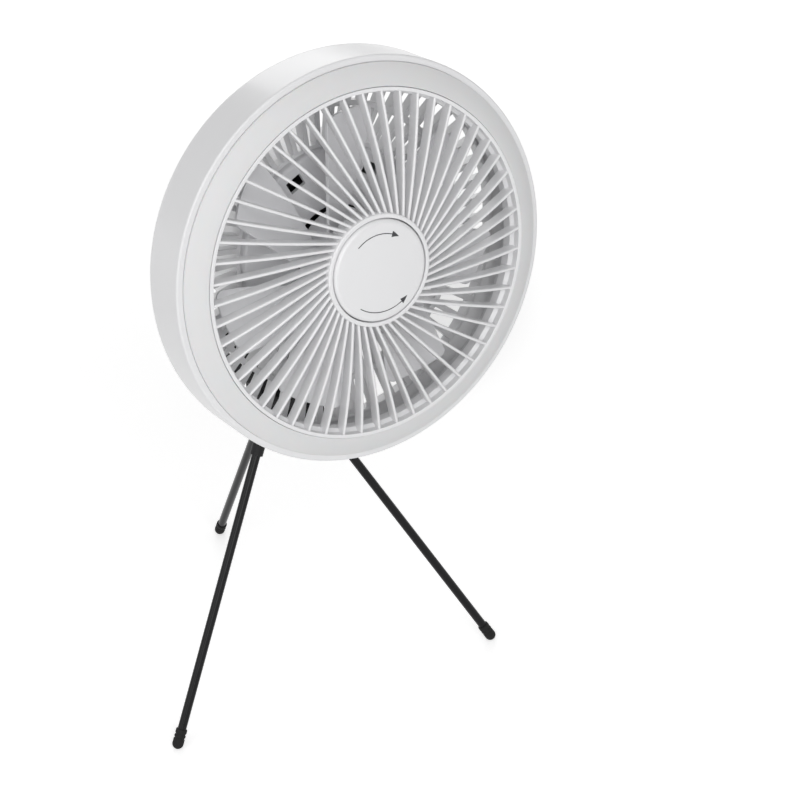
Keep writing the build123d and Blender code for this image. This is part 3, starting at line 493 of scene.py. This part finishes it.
crown = ((ring_inner_radius + ring_outer_radius) / 2,
         (ring_inner_front + ring_outer_front) / 2 + ring_crown)
ring_front = arc((ring_inner_radius, ring_inner_front), crown,
                 (ring_outer_radius, ring_outer_front), 10)
ring_back = arc((ring_outer_radius - ring_skin, ring_outer_front - 0.8 * ring_skin),
                (crown[0], crown[1] - ring_skin),
                (ring_inner_radius + ring_skin, ring_inner_front - ring_skin), 10)
ring_outline = [*ring_front, (ring_outer_radius, ring_foot),
                (ring_outer_radius - ring_skin, ring_foot), *ring_back,
                (ring_inner_radius + ring_skin, ring_foot), (ring_inner_radius, ring_foot)]
frosted = moulded("frosted_light_ring", (0.735, 0.735, 0.74), roughness=0.5, tone=0.015,
                  Subsurface_Weight=0.08, Subsurface_Scale=0.003, Specular_IOR_Level=0.35)
light_ring = turned(rounded(ring_outline, 0.0, {0: ring_inner_edge, 10: ring_outer_edge}))
fit("light_ring", as_mesh("light_ring", light_ring), frosted, in_head, "head",
    ["light_diffuser"])

# ---- Duct ----------------------------
# Short white inner wall of the air path. Its flange seats on the drum's ledge and carries the light
# board, and its mouth takes the grille's lip.
duct_radius, duct_wall = 88.0, 2.0
duct_front, duct_flange_front = -0.6, -6.8
duct_outer = duct_radius + duct_wall
duct_outline = [(duct_radius, duct_front), (duct_outer, duct_front),
                (duct_outer, duct_flange_front), (ring_outer_radius, duct_flange_front),
                (ring_outer_radius, -ledge_depth), (duct_radius, -ledge_depth)]
duct_white = moulded("duct_white", (0.62, 0.62, 0.63), roughness=0.45)
fit("air_duct", as_mesh("air_duct", turned(rounded(duct_outline, 0.2))), duct_white, in_head,
    "head", ["duct_ring"])

# ---- Front grille --------------------
# Finger guard moulded in one shot: a ring with a lip, straight vanes that bow forward a little and
# meet the hub askew, and a hub cup that holds the scent pad. The front edge of each vane is full
# round and its flanks draw in towards the back, as the mould needs.
vane_count = 52
vane_thickness, vane_back_thickness, vane_chamfer = 1.6, 1.1, 0.3
vane_depth, vane_bow, vane_start, vane_skew = 7.0, 1.75, 2.88, 20.4
# the front edges end this far below the hub cup's mouth and the ring's front
vane_hub_drop, vane_ring_drop = 1.3, 0.5
grille_front = 6.4
hub_radius, hub_wall, hub_front = 29.2, 2.3, 13.9
hub_floor_back, hub_floor_front = 2.0, 4.0
tab_low, tab_thickness, tab_angle, tab_inner_radius = 7.8, 1.6, 32.0, 24.8
# pieces that are moulded together run into each other by this much
joining = 0.5
cap_start = 83.5
mouth_radius, mouth_gap, mouth_slope = 88.4, 0.2, (1.5, 3.0)
lip_wall, lip_depth = 1.2, 4.0
# corners of the mouth's and the cup's outlines: radius of each arc
mouth_edges, cup_edges = {0: 0.25, 1: 0.3}, {0: 0.45, 1: 0.8, 2: 2.0}


def lofted(rows):
    """Closed body through rows of points, with a face at both ends."""
    body = bmesh.new()
    loops = [[body.verts.new(point) for point in row] for row in rows]
    for loop, after in zip(loops, loops[1:]):
        for k in range(len(loop)):
            body.faces.new((loop[k], loop[k - 1], after[k - 1], after[k]))
    body.faces.new(loops[0])
    body.faces.new(list(reversed(loops[-1])))
    return body


def bow(share):
    """Parabola that is 0 at both ends and 1 in the middle."""
    return 4.0 * share * (1.0 - share)


def vane():
    """One vane that meets the ring at +x: a rounded blade section carried along its front edge."""
    inner, outer = hub_radius - hub_wall / 2, duct_radius + duct_wall / 2
    start = Vector(polar(inner, -radians(vane_skew), hub_front - vane_hub_drop))
    way = Vector((outer, 0.0, grille_front - vane_ring_drop)) - start
    across = Vector((-way.y, way.x, 0.0)).normalized()
    nose, tail = vane_thickness / 2, vane_back_thickness / 2
    section = [(nose * cos(pi * k / 6), nose * sin(pi * k / 6) - nose) for k in range(7)]
    section += [(-tail, vane_chamfer - vane_depth), (vane_chamfer - tail, -vane_depth),
                (tail - vane_chamfer, -vane_depth), (tail, vane_chamfer - vane_depth)]
    rows = []
    for share in [k / 10 for k in range(11)]:
        place = start + way * share
        place.z += vane_bow * bow(share)
        rows.append([place + across * side + Vector((0.0, 0.0, depth)) for side, depth in section])
    return lofted(rows)


def tile(inner, outer, angle, low, high, steps=10):
    """Closed flat ring segment centred on +x."""
    corners = ((inner, low), (outer, low), (outer, high), (inner, high))
    return lofted([[polar(radius, radians(angle) * (k / steps - 0.5), height)
                    for radius, height in corners] for k in range(steps + 1)])


def copies(body, count, start=0.0):
    """Closed bmesh of count copies round z."""
    return body_of(repeated(as_mesh("copy", body), count, start))


grille_white = moulded("grille_white", (0.83, 0.83, 0.84), roughness=0.33, Coat_Weight=0.2,
                       Coat_Roughness=0.2)
lip_outer, lip_inner = duct_radius - mouth_gap, duct_radius - mouth_gap - lip_wall
mouth = [(mouth_radius, grille_front), (ring_inner_radius - mouth_gap, grille_front),
         (ring_inner_radius - mouth_gap, duct_front), (lip_outer, duct_front),
         (lip_outer, duct_front - lip_depth), (lip_inner, duct_front - lip_depth),
         (lip_inner, duct_front + mouth_slope[0]), (mouth_radius, duct_front + mouth_slope[1])]
cup = [(hub_radius - hub_wall, hub_front), (hub_radius, hub_front), (hub_radius, hub_floor_back),
       (0.0, hub_floor_back), (0.0, hub_floor_front), (hub_radius - hub_wall, hub_floor_front)]
guard = as_mesh("grille", turned(rounded(mouth, 0.2, mouth_edges)),
                turned(rounded(cup, 0.3, cup_edges)),
                copies(vane(), vane_count, vane_start),
                copies(tile(tab_inner_radius, hub_radius - joining, tab_angle, tab_low,
                            tab_low + tab_thickness), 3, cap_start))
fit("grille", guard, grille_white, in_head, "head", ["front_grille"])

# ---- Scent cap -----------------------
# Twist-off lid of the scent box: a shallow dome with a soft bevel, a skirt and three lugs that
# turn under the cup's tabs. Two thin printed arrows show which way it turns.
cap_radius, cap_edge, cap_dome, cap_bevel = 26.4, 14.6, 1.2, 2.2
cap_brim, cap_skin = 11.3, 1.8
skirt_radius, skirt_wall = 24.3, 1.8
lug_low, lug_height, lug_reach, lug_sink, lug_angle = 5.6, 1.6, 2.0, 0.4, 24.0
# height that the cap's inner face falls by on its way to the skirt
cap_inner_fall = 0.9
cap_top = cap_edge + cap_dome
bevel_start = cap_radius - cap_bevel
ink_height, ink_line = 0.04, 0.45
head_half, head_length, head_point = 1.6, 4.2, 0.02
# middle radius, first and last angle; the head is at the last
arrows = ((19.4, 126.0, 52.0), (21.2, -132.0, -52.0))

dome_points = ((0.0, cap_top), (bevel_start * 0.55, cap_top - 0.25 * cap_dome),
               (bevel_start, cap_edge + 0.25 * cap_dome))
dome = arc(*dome_points, 10)
bevel = arc(dome_points[2], (cap_radius - 0.3 * cap_bevel, cap_edge - 0.18 * cap_bevel),
            (cap_radius, cap_edge - 0.75 * cap_bevel), 8)
inner_skirt = skirt_radius - skirt_wall
cap_outline = dome + bevel[1:] + [
    (cap_radius, cap_brim), (skirt_radius, cap_brim), (skirt_radius, lug_low),
    (inner_skirt, lug_low), (inner_skirt, cap_top - cap_skin - cap_inner_fall),
    (0.0, cap_top - cap_skin)]
cap_white = moulded("cap_white", (0.82, 0.82, 0.83), roughness=0.3, Coat_Weight=0.3,
                    Coat_Roughness=0.15)
cap_mesh = as_mesh("cap", turned(cap_outline),
                   copies(tile(skirt_radius - lug_sink, skirt_radius + lug_reach, lug_angle,
                               lug_low, lug_low + lug_height), 3, cap_start))
fit("cap", cap_mesh, cap_white, in_head, "cap", ["scent_cap"])


def dome_height(radius):
    """Height of the cap's top at a radius, between the two drawn points on each side of it."""
    for (near, high), (far, low) in zip(dome, dome[1:]):
        if radius <= far:
            return high + (low - high) * (radius - near) / (far - near)
    return dome[-1][1]


def printed_arrow(radius, first, last):
    """A curved line of ink with an arrow head, lying on the dome."""
    way = 1.0 if last > first else -1.0
    tail, point = radians(first), radians(last)
    neck = point - way * head_length / radius
    stations = [(tail + (neck - tail) * k / 24, ink_line / 2) for k in range(25)]
    stations += [(neck, head_half)]
    stations += [(neck + (point - neck) * k / 4, head_half * (1 - k / 4) + head_point)
                 for k in range(1, 5)]
    return lofted([[polar(radius + side, angle, dome_height(radius + side) + lift)
                    for side, lift in ((-half, -ink_height), (half, -ink_height),
                                       (half, ink_height), (-half, ink_height))]
                   for angle, half in stations])


ink = moulded("grey_ink", (0.035, 0.035, 0.04), roughness=0.5, tone=0.2)
arrow_bodies = [printed_arrow(*arrow) for arrow in arrows]
fit("cap_arrows", as_mesh("cap_arrows", *arrow_bodies), ink, in_head, "cap", [])

# ---- Impeller ------------------------
# White hub cup pressed over the motor's can, with seven broad pitched blades. Moulded in one
# piece, glossy where it was polished in the mould.
blade_count, blade_start, blade_tip = 7, 83.5, 77.5
blade_front, blade_depth = -2.4, 11.0
blade_thickness, blade_camber, blade_corner = 1.7, 1.3, 4.0
# the straight front edge and the rear edge's end lie this far to each side of the middle line
blade_ahead, blade_behind = 19.0, -13.5
blade_waist, blade_neck, blade_root = (50.0, -5.8), (19.6, 9.6), 10.6
boss_radius, boss_front, boss_back, boss_round = 22.4, -4.6, -26.0, 2.5
can_radius, can_front, shaft_radius = 19.2, -8.2, 1.5
inner_white = (0.76, 0.76, 0.775)


def sliced(body, place, normal, **settings):
    """Cuts a body's faces along a plane and gives what the cut made."""
    return bmesh.ops.bisect_plane(body, geom=body.verts[:] + body.edges[:] + body.faces[:],
                                  plane_co=place, plane_no=normal, **settings)


def blade(strips=13):
    """One closed blade on the +x side: a flat outline cut in strips and bent to its pitch."""
    front_tip, rear_tip = [(sqrt(blade_tip ** 2 - side ** 2), side)
                           for side in (blade_ahead, blade_behind)]
    tip = arc(front_tip, (blade_tip, 0.0), rear_tip, 6)
    rear = arc(rear_tip, blade_waist, blade_neck, 10)
    outline = rounded([(blade_root, blade_ahead)] + tip + rear[1:], 0.0,
                      {1: blade_corner, 7: blade_corner}, steps=6)
    body = bmesh.new()
    body.faces.new([body.verts.new((x, y, 0.0)) for x, y in outline])
    width = blade_ahead - blade_behind
    for k in range(1, strips):
        sliced(body, (0.0, blade_ahead - width * k / strips, 0.0), (0.0, 1.0, 0.0))
    for vertex in body.verts:
        share = (blade_ahead - vertex.co.y) / width
        vertex.co.z = blade_front - blade_depth * share - blade_camber * bow(share)
    bmesh.ops.recalc_face_normals(body, faces=body.faces)
    if body.faces[:][0].normal.z < 0:
        bmesh.ops.reverse_faces(body, faces=body.faces)
    bmesh.ops.solidify(body, geom=body.faces[:], thickness=blade_thickness)
    return body


boss = [(shaft_radius, boss_front), (boss_radius, boss_front), (boss_radius, boss_back),
        (can_radius, boss_back), (can_radius, can_front), (shaft_radius, can_front)]
impeller_white = moulded("impeller_white", inner_white, roughness=0.3, Coat_Weight=0.3,
                         Coat_Roughness=0.15)
rotor = as_mesh("impeller", turned(rounded(boss, 0.3, {1: boss_round})),
                copies(blade(), blade_count, blade_start))
fit("impeller_moulding", rotor, impeller_white, in_head, "impeller", ["impeller"],
    edge=0.4 * mm)

# ---- Motor housing -------------------
# Front half of the pod: a white moulding whose face fills the middle of the drum's rear wall. Four
# windows and six curved slots cool the motor behind it, and four pillars take the pod's screws.
window_size, window_radius = (6.5, 9.0), 43.5
plain_places = (174.4, 354.4)
face_front, face_back = -29.0, -31.4
arc_inner_radius, arc_outer_radius, arc_angle, arc_start = 18.0, 23.0, 41.0, 54.4
overcut = 0.4


def bar(size, centre):
    """Closed block."""
    body = bmesh.new()
    scaled = Matrix.Diagonal((*size, 1))
    bmesh.ops.create_cube(body, size=1.0, matrix=Matrix.Translation(centre) @ scaled)
    return body


def cut_by(mesh, body):
    """The mesh with a closed body, drawn in the head's frame, taken out of it."""
    tool_mesh = as_mesh("tool", body)
    tool_mesh.transform(in_head)
    host, tool = placed("host", mesh), placed("tool", tool_mesh)
    cut = host.modifiers.new("cut", "BOOLEAN")
    cut.object, cut.operation, cut.solver = tool, "DIFFERENCE", "EXACT"
    made = evaluated(host)
    bpy.data.objects.remove(tool)
    return made


def with_wide_arcs(mesh):
    """The housing with its curved slots opened inwards and two of its windows closed."""
    arcs = copies(tile(arc_inner_radius, arc_outer_radius, arc_angle, face_back - overcut,
                       face_front + overcut, steps=16), 6, arc_start)
    housing = body_of(cut_by(mesh, arcs))
    middle, thickness = (face_front + face_back) / 2, face_front - face_back
    for angle in plain_places:
        pane = bar((*window_size, thickness), (window_radius, 0.0, middle))
        pane.transform(in_head @ Matrix.Rotation(radians(angle), 4, "Z"))
        housing.from_mesh(as_mesh("pane", pane))
    return as_mesh("housing", housing)


def softened(name, source, material, body, edge=0.25, sharp=38.0, rework=None):
    """Copy of a CAD node with its sharp edges broken, as moulded and machined edges are."""
    made = body_of(nodes[source].data)
    bmesh.ops.remove_doubles(made, verts=made.verts, dist=0.001 * mm)
    bmesh.ops.dissolve_limit(made, angle_limit=radians(0.3), verts=made.verts, edges=made.edges)
    mesh = bpy.data.meshes.new(name)
    made.to_mesh(mesh)
    made.free()
    if rework:
        mesh = rework(mesh)
    return fit(name, mesh, material, Matrix(), body, [source], edge=edge * mm, sharp=sharp)


housing_white = moulded("housing_white", inner_white, roughness=0.42)
softened("housing", "motor_housing", housing_white, "head", rework=with_wide_arcs)

# ---- Motor ---------------------------
# Outrunner inside the impeller's hub: a pressed steel can with a ring magnet turns on two ball
# bearings in a brass tube, round nine wound poles. Its metals are bare, with the lines of turning.
def line_masks(group, given, place):
    """Fine lines left by a tool or a roller, one beside the other along a direction."""
    along = node(group, "ShaderNodeVectorMath", {0: place, 1: given["Direction"]},
                 operation="DOT_PRODUCT").outputs["Value"]
    line = worked(group, "DIVIDE", along, given["Spacing"])
    ridge = node(group, "ShaderNodeTexNoise", {"W": line, "Scale": 1.0, "Detail": 3.0},
                 noise_dimensions="1D").outputs["Fac"]
    return ridge, ridge, ridge


tool_lines = effect("tool_lines", (("Direction", "Vector", (0.0, 0.0, 1.0)),
                                   ("Spacing", "Float", 0.0003)), line_masks)


def lined(name, colour, direction=fan_axis, roughness=0.3, spacing=0.25, depth=0.008, tone=0.15,
          **shader):
    """Metal or wound material with fine lines; spacing and depth are in millimetres."""
    values = {"Color": (*colour, 1.0), "Direction": direction, "Roughness": roughness,
              "Gloss Spread": 0.15, "Spacing": spacing * mm, "Depth": depth * mm,
              "Tone Spread": tone}
    return surfaced(name, tool_lines, values, shader)


def metal(name, colour, direction=fan_axis, roughness=0.3, **other):
    """Bare metal."""
    return lined(name, colour, direction, roughness, Metallic=1.0, **other)


def finished(material, *names):
    """Gives CAD nodes whose shape is already right their finish."""
    for name in names:
        for slot in nodes[name].material_slots:
            slot.material = material


steel_colour, brass_colour = (0.56, 0.56, 0.57), (0.72, 0.52, 0.24)
turned_steel = metal("turned_steel", steel_colour, roughness=0.28)
laminated_steel = metal("laminated_steel", (0.42, 0.42, 0.43), roughness=0.42, spacing=0.5,
                        depth=0.03)
polished_steel = metal("polished_steel", (0.68, 0.68, 0.69), roughness=0.14, depth=0.002)
turned_brass = metal("turned_brass", brass_colour, roughness=0.27)
sintered_magnet = moulded("sintered_magnet", (0.10, 0.10, 0.11), roughness=0.5, grain=0.00003,
                          grain_size=0.0003, tone=0.2, Metallic=0.7)
enamelled_wire = lined("enamelled_wire", (0.62, 0.25, 0.09), (1.0, 0.2, 0.1), spacing=0.35,
                       depth=0.06, tone=0.35, Metallic=0.85, Coat_Weight=0.5)
finished(turned_steel, "rotor_can", "motor_shaft")
finished(laminated_steel, "motor_stator")
finished(polished_steel, "bearings")
finished(turned_brass, "bearing_tube")
finished(sintered_magnet, "rotor_magnet")
finished(enamelled_wire, "motor_coils")

# ---- Light board ---------------------
# Ring of glass fibre board in green solder mask, with forty-four white light chips under their
# yellow phosphor. It lies on the duct's flange behind the frosted ring.
def board_material(name, colour, track_colour, pitch):
    """Solder mask over copper tracks, which show as a slightly paler, raised pattern."""
    material = bpy.data.materials.new(name)
    material.use_nodes = True
    tree = material.node_tree
    place = node(tree, "ShaderNodeTexCoord").outputs["Object"]
    cells = node(tree, "ShaderNodeTexVoronoi", {"Vector": place, "Scale": 1.0 / (pitch * mm)},
                 feature="DISTANCE_TO_EDGE").outputs["Distance"]
    track = ranged(tree, cells, (0.06, 0.1), (1.0, 0.0))
    bump = node(tree, "ShaderNodeBump", {"Height": track, "Distance": 0.03 * mm})
    surface = tree.nodes["Principled BSDF"]
    tree.links.new(mixed(tree, track, (*colour, 1.0), (*track_colour, 1.0)),
                   surface.inputs["Base Color"])
    tree.links.new(bump.outputs[0], surface.inputs["Normal"])
    surface.inputs["Roughness"].default_value = 0.35
    surface.inputs["Coat Weight"].default_value = 0.4
    return material


solder_mask = board_material("solder_mask", (0.015, 0.11, 0.05), (0.03, 0.19, 0.09), 3.2)
phosphor = moulded("light_chip_phosphor", (0.82, 0.66, 0.2), roughness=0.45, tone=0.12,
                   grain_size=0.0002, grain=0.00002)
finished(solder_mask, "led_board", "main_board")
finished(phosphor, "led_chips")

# ---- Scent pad -----------------------
# Die-cut disc of pressed wool felt that lies in the hub cup and holds a few drops of scent oil.
# Its faces are slightly uneven and its cut edge is soft.
pad_radius, pad_thickness, pad_edge = 20.0, 3.0, 0.9
# rise of the upper face, share of it on the face that lies on the cup, and how close the waves are
pad_unevenness, pad_under_share, pad_waves = 0.12, 0.2, 0.45


def felt_disc(rings=14):
    """Flat disc with a soft edge; its faces rise and fall a little."""
    low, high = hub_floor_front, hub_floor_front + pad_thickness
    edge = rounded([(0.0, low), (pad_radius, low), (pad_radius, high), (0.0, high)], pad_edge,
                   steps=5)
    face = [pad_radius * (k / rings) * 0.95 for k in range(1, rings)]
    outline = [edge[0]] + [(r, low) for r in face] + edge[1:-1] + [(r, high) for r in face[::-1]]
    outline.append(edge[-1])
    body = turned(outline, 96)
    for vertex in body.verts:
        rise = (noise.noise(vertex.co * pad_waves) - 0.5) * pad_unevenness
        vertex.co.z += rise if vertex.co.z > (low + high) / 2 else -pad_under_share * rise
    return body


wool_felt = moulded("wool_felt", (0.78, 0.76, 0.70), roughness=0.92, grain=0.00012,
                    grain_size=0.0007, tone=0.12, gloss=0.05, Sheen_Weight=0.5, Sheen_Roughness=0.6)
pad = fit("felt_pad", as_mesh("felt_pad", felt_disc()), wool_felt, in_head, "head", ["scent_pad"])

# ---- Pod cover -----------------------
# Rear half of the pod, in the same white ABS with a slightly duller face: it holds the cells and
# the circuit board, and its lug takes the tilt pin. Four zinc plated screws sit deep in its face.
cover_white = moulded("cover_white", (0.79, 0.79, 0.80), roughness=0.36, Coat_Weight=0.15,
                      Coat_Roughness=0.25)
softened("rear_cover", "pod_cover", cover_white, "head")
zinc_plate = metal("zinc_plate", (0.50, 0.50, 0.52), roughness=0.36, spacing=0.15)
finished(zinc_plate, "pod_screws", "usb_port")

# ---- Cells and switches --------------
# Three 18650 cells in black shrink sleeves lie side by side in a grey cradle. Three push switches
# stand on the circuit board, one behind each button.
shrink_sleeve = lined("shrink_sleeve", (0.012, 0.013, 0.015), (1.0, 0.0, 0.0), spacing=2.0,
                      depth=0.02, tone=0.1, Coat_Weight=0.3)
cradle_grey = moulded("cradle_grey", (0.075, 0.075, 0.08), roughness=0.5, tone=0.1)
finished(shrink_sleeve, "battery_cells")
finished(cradle_grey, "battery_tray", "button_switches")

# ---- Buttons and windows -------------
# Three silicone-soft buttons with a printed sign each (fan, light, timer), four clear light pipes
# that show the charge, and the smoked window of the remote control's receiver.
button_face = -85.3
button_places = {"fan": (-18.0, -9.0), "light": (0.0, -9.0), "timer": (18.0, -9.0)}
button_crown, crown_reach = 0.3, 4.0
print_height = 0.03
# a dot's radius, the radius out to which its height is taken, and its sides
fan_dot, light_dot = (0.55, 1.0, 24), (1.2, 1.2, 32)
# inner and outer radius and angle of a blade and of a ray; size and middle of each clock hand
fan_blade, light_ray = (0.9, 2.6, 48.0), (1.75, 2.6, 9.0)
clock_ring, clock_hands = (2.1, 2.5), (((0.36, 1.6), (0.0, 0.62)), ((1.2, 0.36), (0.5, 0.0)))
button_grey = moulded("button_grey", (0.44, 0.445, 0.455), roughness=0.55, tone=0.04,
                      grain=0.00002, grain_size=0.0004)
sign_ink = moulded("white_sign_ink", (0.86, 0.86, 0.86), roughness=0.5, tone=0.05)


def printed(inner, outer):
    """Heights of a print between two radii on a button's slightly crowned face."""
    crown = button_crown * (1.0 - (inner + outer) / 2 / crown_reach)
    return button_face - crown - print_height, button_face


def washer(inner, outer, low, high, steps):
    """Closed flat ring, or a disc where inner is zero."""
    return turned([(inner, low), (outer, low), (outer, high), (inner, high)], steps)


def rayed_sign(dot, ray, count, start=0.0, steps=6):
    """A dot with blades or rays round it."""
    radius, reach, sides = dot
    return [washer(0.0, radius, *printed(0.0, reach), sides),
            copies(tile(*ray, *printed(*ray[:2]), steps=steps), count, start)]


def clock_sign():
    """A ring with two hands."""
    low, high = printed(0.0, 1.0)
    return [washer(*clock_ring, *printed(*clock_ring), 40)] + [
        bar((*size, high - low), (*middle, (low + high) / 2)) for size, middle in clock_hands]


for key, signs in (("fan", rayed_sign(fan_dot, fan_blade, 4, start=20.0)),
                   ("light", rayed_sign(light_dot, light_ray, 8, steps=2)),
                   ("timer", clock_sign())):
    softened(f"{key}_push", f"{key}_button", button_grey, f"{key}_button",
             edge=0.3)
    x, y = button_places[key]
    fit(f"{key}_sign", as_mesh(f"{key}_sign", *signs), sign_ink,
        in_head @ Matrix.Translation((x, y, 0.0)), f"{key}_button", [])

light_pipe = moulded("light_pipe", (0.85, 0.87, 0.88), roughness=0.12, gloss=0.04, tone=0.02,
                     Transmission_Weight=0.85, IOR=1.49)
smoked = moulded("smoked_window", (0.012, 0.008, 0.014), roughness=0.12, gloss=0.05, tone=0.1,
                 Coat_Weight=0.5)
finished(light_pipe, "indicator_lights")
softened("receiver_window", "sensor_window", smoked, "head", edge=0.2)

# ---- Hanging bail --------------------
# Bent loop of nickel plated spring wire. It folds flat on the rear face, or stands up so that the
# fan can hang by it.
nickel = metal("nickel_wire", (0.66, 0.65, 0.62), (0.3, 0.2, 0.9), roughness=0.16, spacing=0.4,
               depth=0.003, tone=0.08)
finished(nickel, "hanging_bail")

# ---- Tilting arm ---------------------
# Broad forked arm in black glass filled nylon, ribbed at the back. A steel rivet with dimpled heads
# runs through both ears and the pod's lug, and a friction washer lies on each side of the lug.
ear_outer, rivet_radius, rivet_head_radius, rivet_head = 29.0, 2.5, 4.0, 1.4
# radius on a rivet head's dimpled face, and how deep the face lies there
rivet_face = ((0.0, 0.8), (1.0, 0.75), (1.7, 0.05), (3.0, 0.0), (rivet_head_radius, 0.45))
# both sides swell out between two heights above the ground, past a distance from the middle; each
# limit comes with the distance over which the swell grows
arm_swell = 4.0
swell_low, swell_high, swell_side = (186.0, 19.0), (240.0, 15.0), (18.0, 12.0)
swivel_x, swivel_y = joints["arm_swivel"]["pos_m"][:2]
black_nylon = moulded("black_nylon", (0.008, 0.008, 0.009), roughness=0.5, grain=0.00004,
                      grain_size=0.0005, tone=0.25, gloss=0.12, Specular_IOR_Level=0.25)
arm = softened("arm", "tilt_arm", black_nylon, "arm", edge=0.4)
for vertex in arm.data.vertices:
    side, height = (vertex.co.x - swivel_x) / mm, vertex.co.z / mm
    share = 1.0
    for past, growth in ((height - swell_low[0], swell_low[1]),
                         (swell_high[0] - height, swell_high[1]),
                         (abs(side) - swell_side[0], swell_side[1])):
        share *= min(max(past / growth, 0.0), 1.0)
    vertex.co.x += copysign(arm_swell, side) * mm * share

head_profile = [(radius, ear_outer - depth) for radius, depth in
                (*rivet_face, (rivet_head_radius, rivet_head), (rivet_radius, rivet_head))]
rivet_profile = head_profile + [(radius, -height) for radius, height in reversed(head_profile)]
along_x = Matrix.Rotation(pi / 2, 4, "Y")
at_pivot = Matrix.Translation(Vector(joints["head_tilt"]["pos_m"])) @ Matrix.Scale(mm, 4) @ along_x
rivet_steel = metal("rivet_steel", (0.46, 0.46, 0.47), (1.0, 0.0, 0.0))
fit("rivet", as_mesh("rivet", turned(rounded(rivet_profile, 0.2), 64)), rivet_steel, at_pivot,
    "arm", ["tilt_pin"])
finished(rivet_steel, "tilt_washers")

# ---- Stand joint ---------------------
# Standard quarter inch camera thread: a steel screw set into the tripod's head, a brass insert
# moulded into the arm's foot, and a rubber pad between them that the arm turns on.
screw_radius, screw_pitch, thread_depth = 3.175, 1.27, 0.55
point_reach, point_length = 0.75, 0.8
screw_low, screw_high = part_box("stand_screw")[0].z / mm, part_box("stand_screw")[1].z / mm


def threaded(radius, low, high, steps=36, rows_per_turn=8):
    """Closed bar along z with a right-handed ridge that runs out at its upper end."""
    rows = round((high - low) / screw_pitch * rows_per_turn)
    rings = []
    for row in range(rows, -1, -1):
        height = low + (high - low) * row / rows
        point = point_reach * max(0.0, 1.0 - (high - height) / point_length)
        ring = []
        for k in range(steps):
            phase = (height / screw_pitch - k / steps) % 1.0
            groove = thread_depth * (1.0 - abs(2.0 * phase - 1.0))
            ring.append(polar(min(radius - groove, radius - point), tau * k / steps, height))
        rings.append(ring)
    return lofted(rings)


swivel_place = Matrix.Translation((swivel_x, swivel_y, 0.0)) @ Matrix.Scale(mm, 4)
screw_steel = metal("screw_steel", steel_colour, (0.0, 0.0, 1.0), roughness=0.25)
fit("camera_screw", as_mesh("camera_screw", threaded(screw_radius, screw_low, screw_high)),
    screw_steel, swivel_place, "tripod", ["stand_screw"], sharp=60.0)
insert_brass = metal("insert_brass", brass_colour, (0.0, 0.0, 1.0), roughness=0.27)
softened("arm_insert", "brass_insert", insert_brass, "arm", edge=0.2)
rubber = moulded("black_rubber", (0.009, 0.009, 0.009), roughness=0.7, grain=0.00003,
                 grain_size=0.0008, tone=0.3, gloss=0.1, Specular_IOR_Level=0.25)
softened("turning_pad", "swivel_pad", rubber, "tripod", edge=0.3)

# ---- Tripod head ---------------------
# Black nylon head with a slot for each leg, under the rubber pad. A steel pin in each slot is the
# leg's hinge.
softened("tripod_head", "tripod_hub", black_nylon, "tripod", edge=0.4)
finished(screw_steel, "leg_pins")

# ---- Legs ----------------------------
# Three straight tubes in black satin paint, each pressed into a nylon knuckle at the top and into
# a moulded rubber foot at the bottom. The feet are worn flat where they stand.
foot_radius, foot_length, tube_radius = 3.25, 12.0, 2.5
leg_length, tube_end = 189.5, 187.5
splay = radians(31.42)
groove_depth, groove_half = 0.4, 0.45
groove_places = (-186.2, -183.9)
# steps of the boot's rounded brim: in from its side, and down from its top
brim_steps = ((0.0, 0.6), (0.2, 0.15), (0.6, 0.0))
satin_black = moulded("satin_black_paint", (0.006, 0.006, 0.007), roughness=0.2, grain=0.000006,
                      grain_size=0.0005, tone=0.3, gloss=0.06, Specular_IOR_Level=0.2)


def foot_outline():
    """Round-ended boot with two shallow grooves, bored for the tube."""
    end = -leg_length - foot_radius
    tip = [(0.0, end)]
    tip += [(foot_radius * sin(a), -leg_length - foot_radius * cos(a))
            for a in [radians(9 * k) for k in range(1, 11)]]
    groove = ((0.0, -1.6), (groove_depth, -0.6), (groove_depth, 0.6), (0.0, 1.6))
    side = [(foot_radius - depth, place + share * groove_half)
            for place in groove_places for depth, share in groove]
    top = end + foot_length
    brim = [(foot_radius - inwards, top - down) for inwards, down in brim_steps]
    return tip + side + brim + [(tube_radius, top), (tube_radius, -tube_end), (0.0, -tube_end)]


def flattened(mesh, place):
    """The mesh put in place and cut flat where it would pass below the ground."""
    mesh.transform(place)
    body = body_of(mesh)
    cut = sliced(body, (0, 0, 0), (0, 0, 1), clear_inner=True)
    rim = [piece for piece in cut["geom_cut"] if isinstance(piece, bmesh.types.BMEdge)]
    bmesh.ops.contextual_create(body, geom=rim)
    return as_mesh(mesh.name, body)


for side in ("left", "right", "rear"):
    hinge = joints[f"{side}_leg_fold"]
    sideways = Vector(hinge["axis"]).normalized()
    outward = Vector((sideways.y, -sideways.x, 0.0))
    upward = Vector((0, 0, 1)) * cos(splay) - outward * sin(splay)
    leg_turn = Matrix((sideways.cross(upward), sideways, upward)).transposed().to_4x4()
    in_leg = Matrix.Translation(hinge["pos_m"]) @ leg_turn @ Matrix.Scale(mm, 4)
    boot = flattened(as_mesh(f"{side}_boot", turned(foot_outline(), 48)), in_leg)
    fit(f"{side}_boot", boot, rubber, Matrix(), f"{side}_leg", [f"{side}_foot"])
    softened(f"{side}_knuckle", f"{side}_leg_knuckle", black_nylon, f"{side}_leg",
             edge=0.3)
    finished(satin_black, f"{side}_leg")
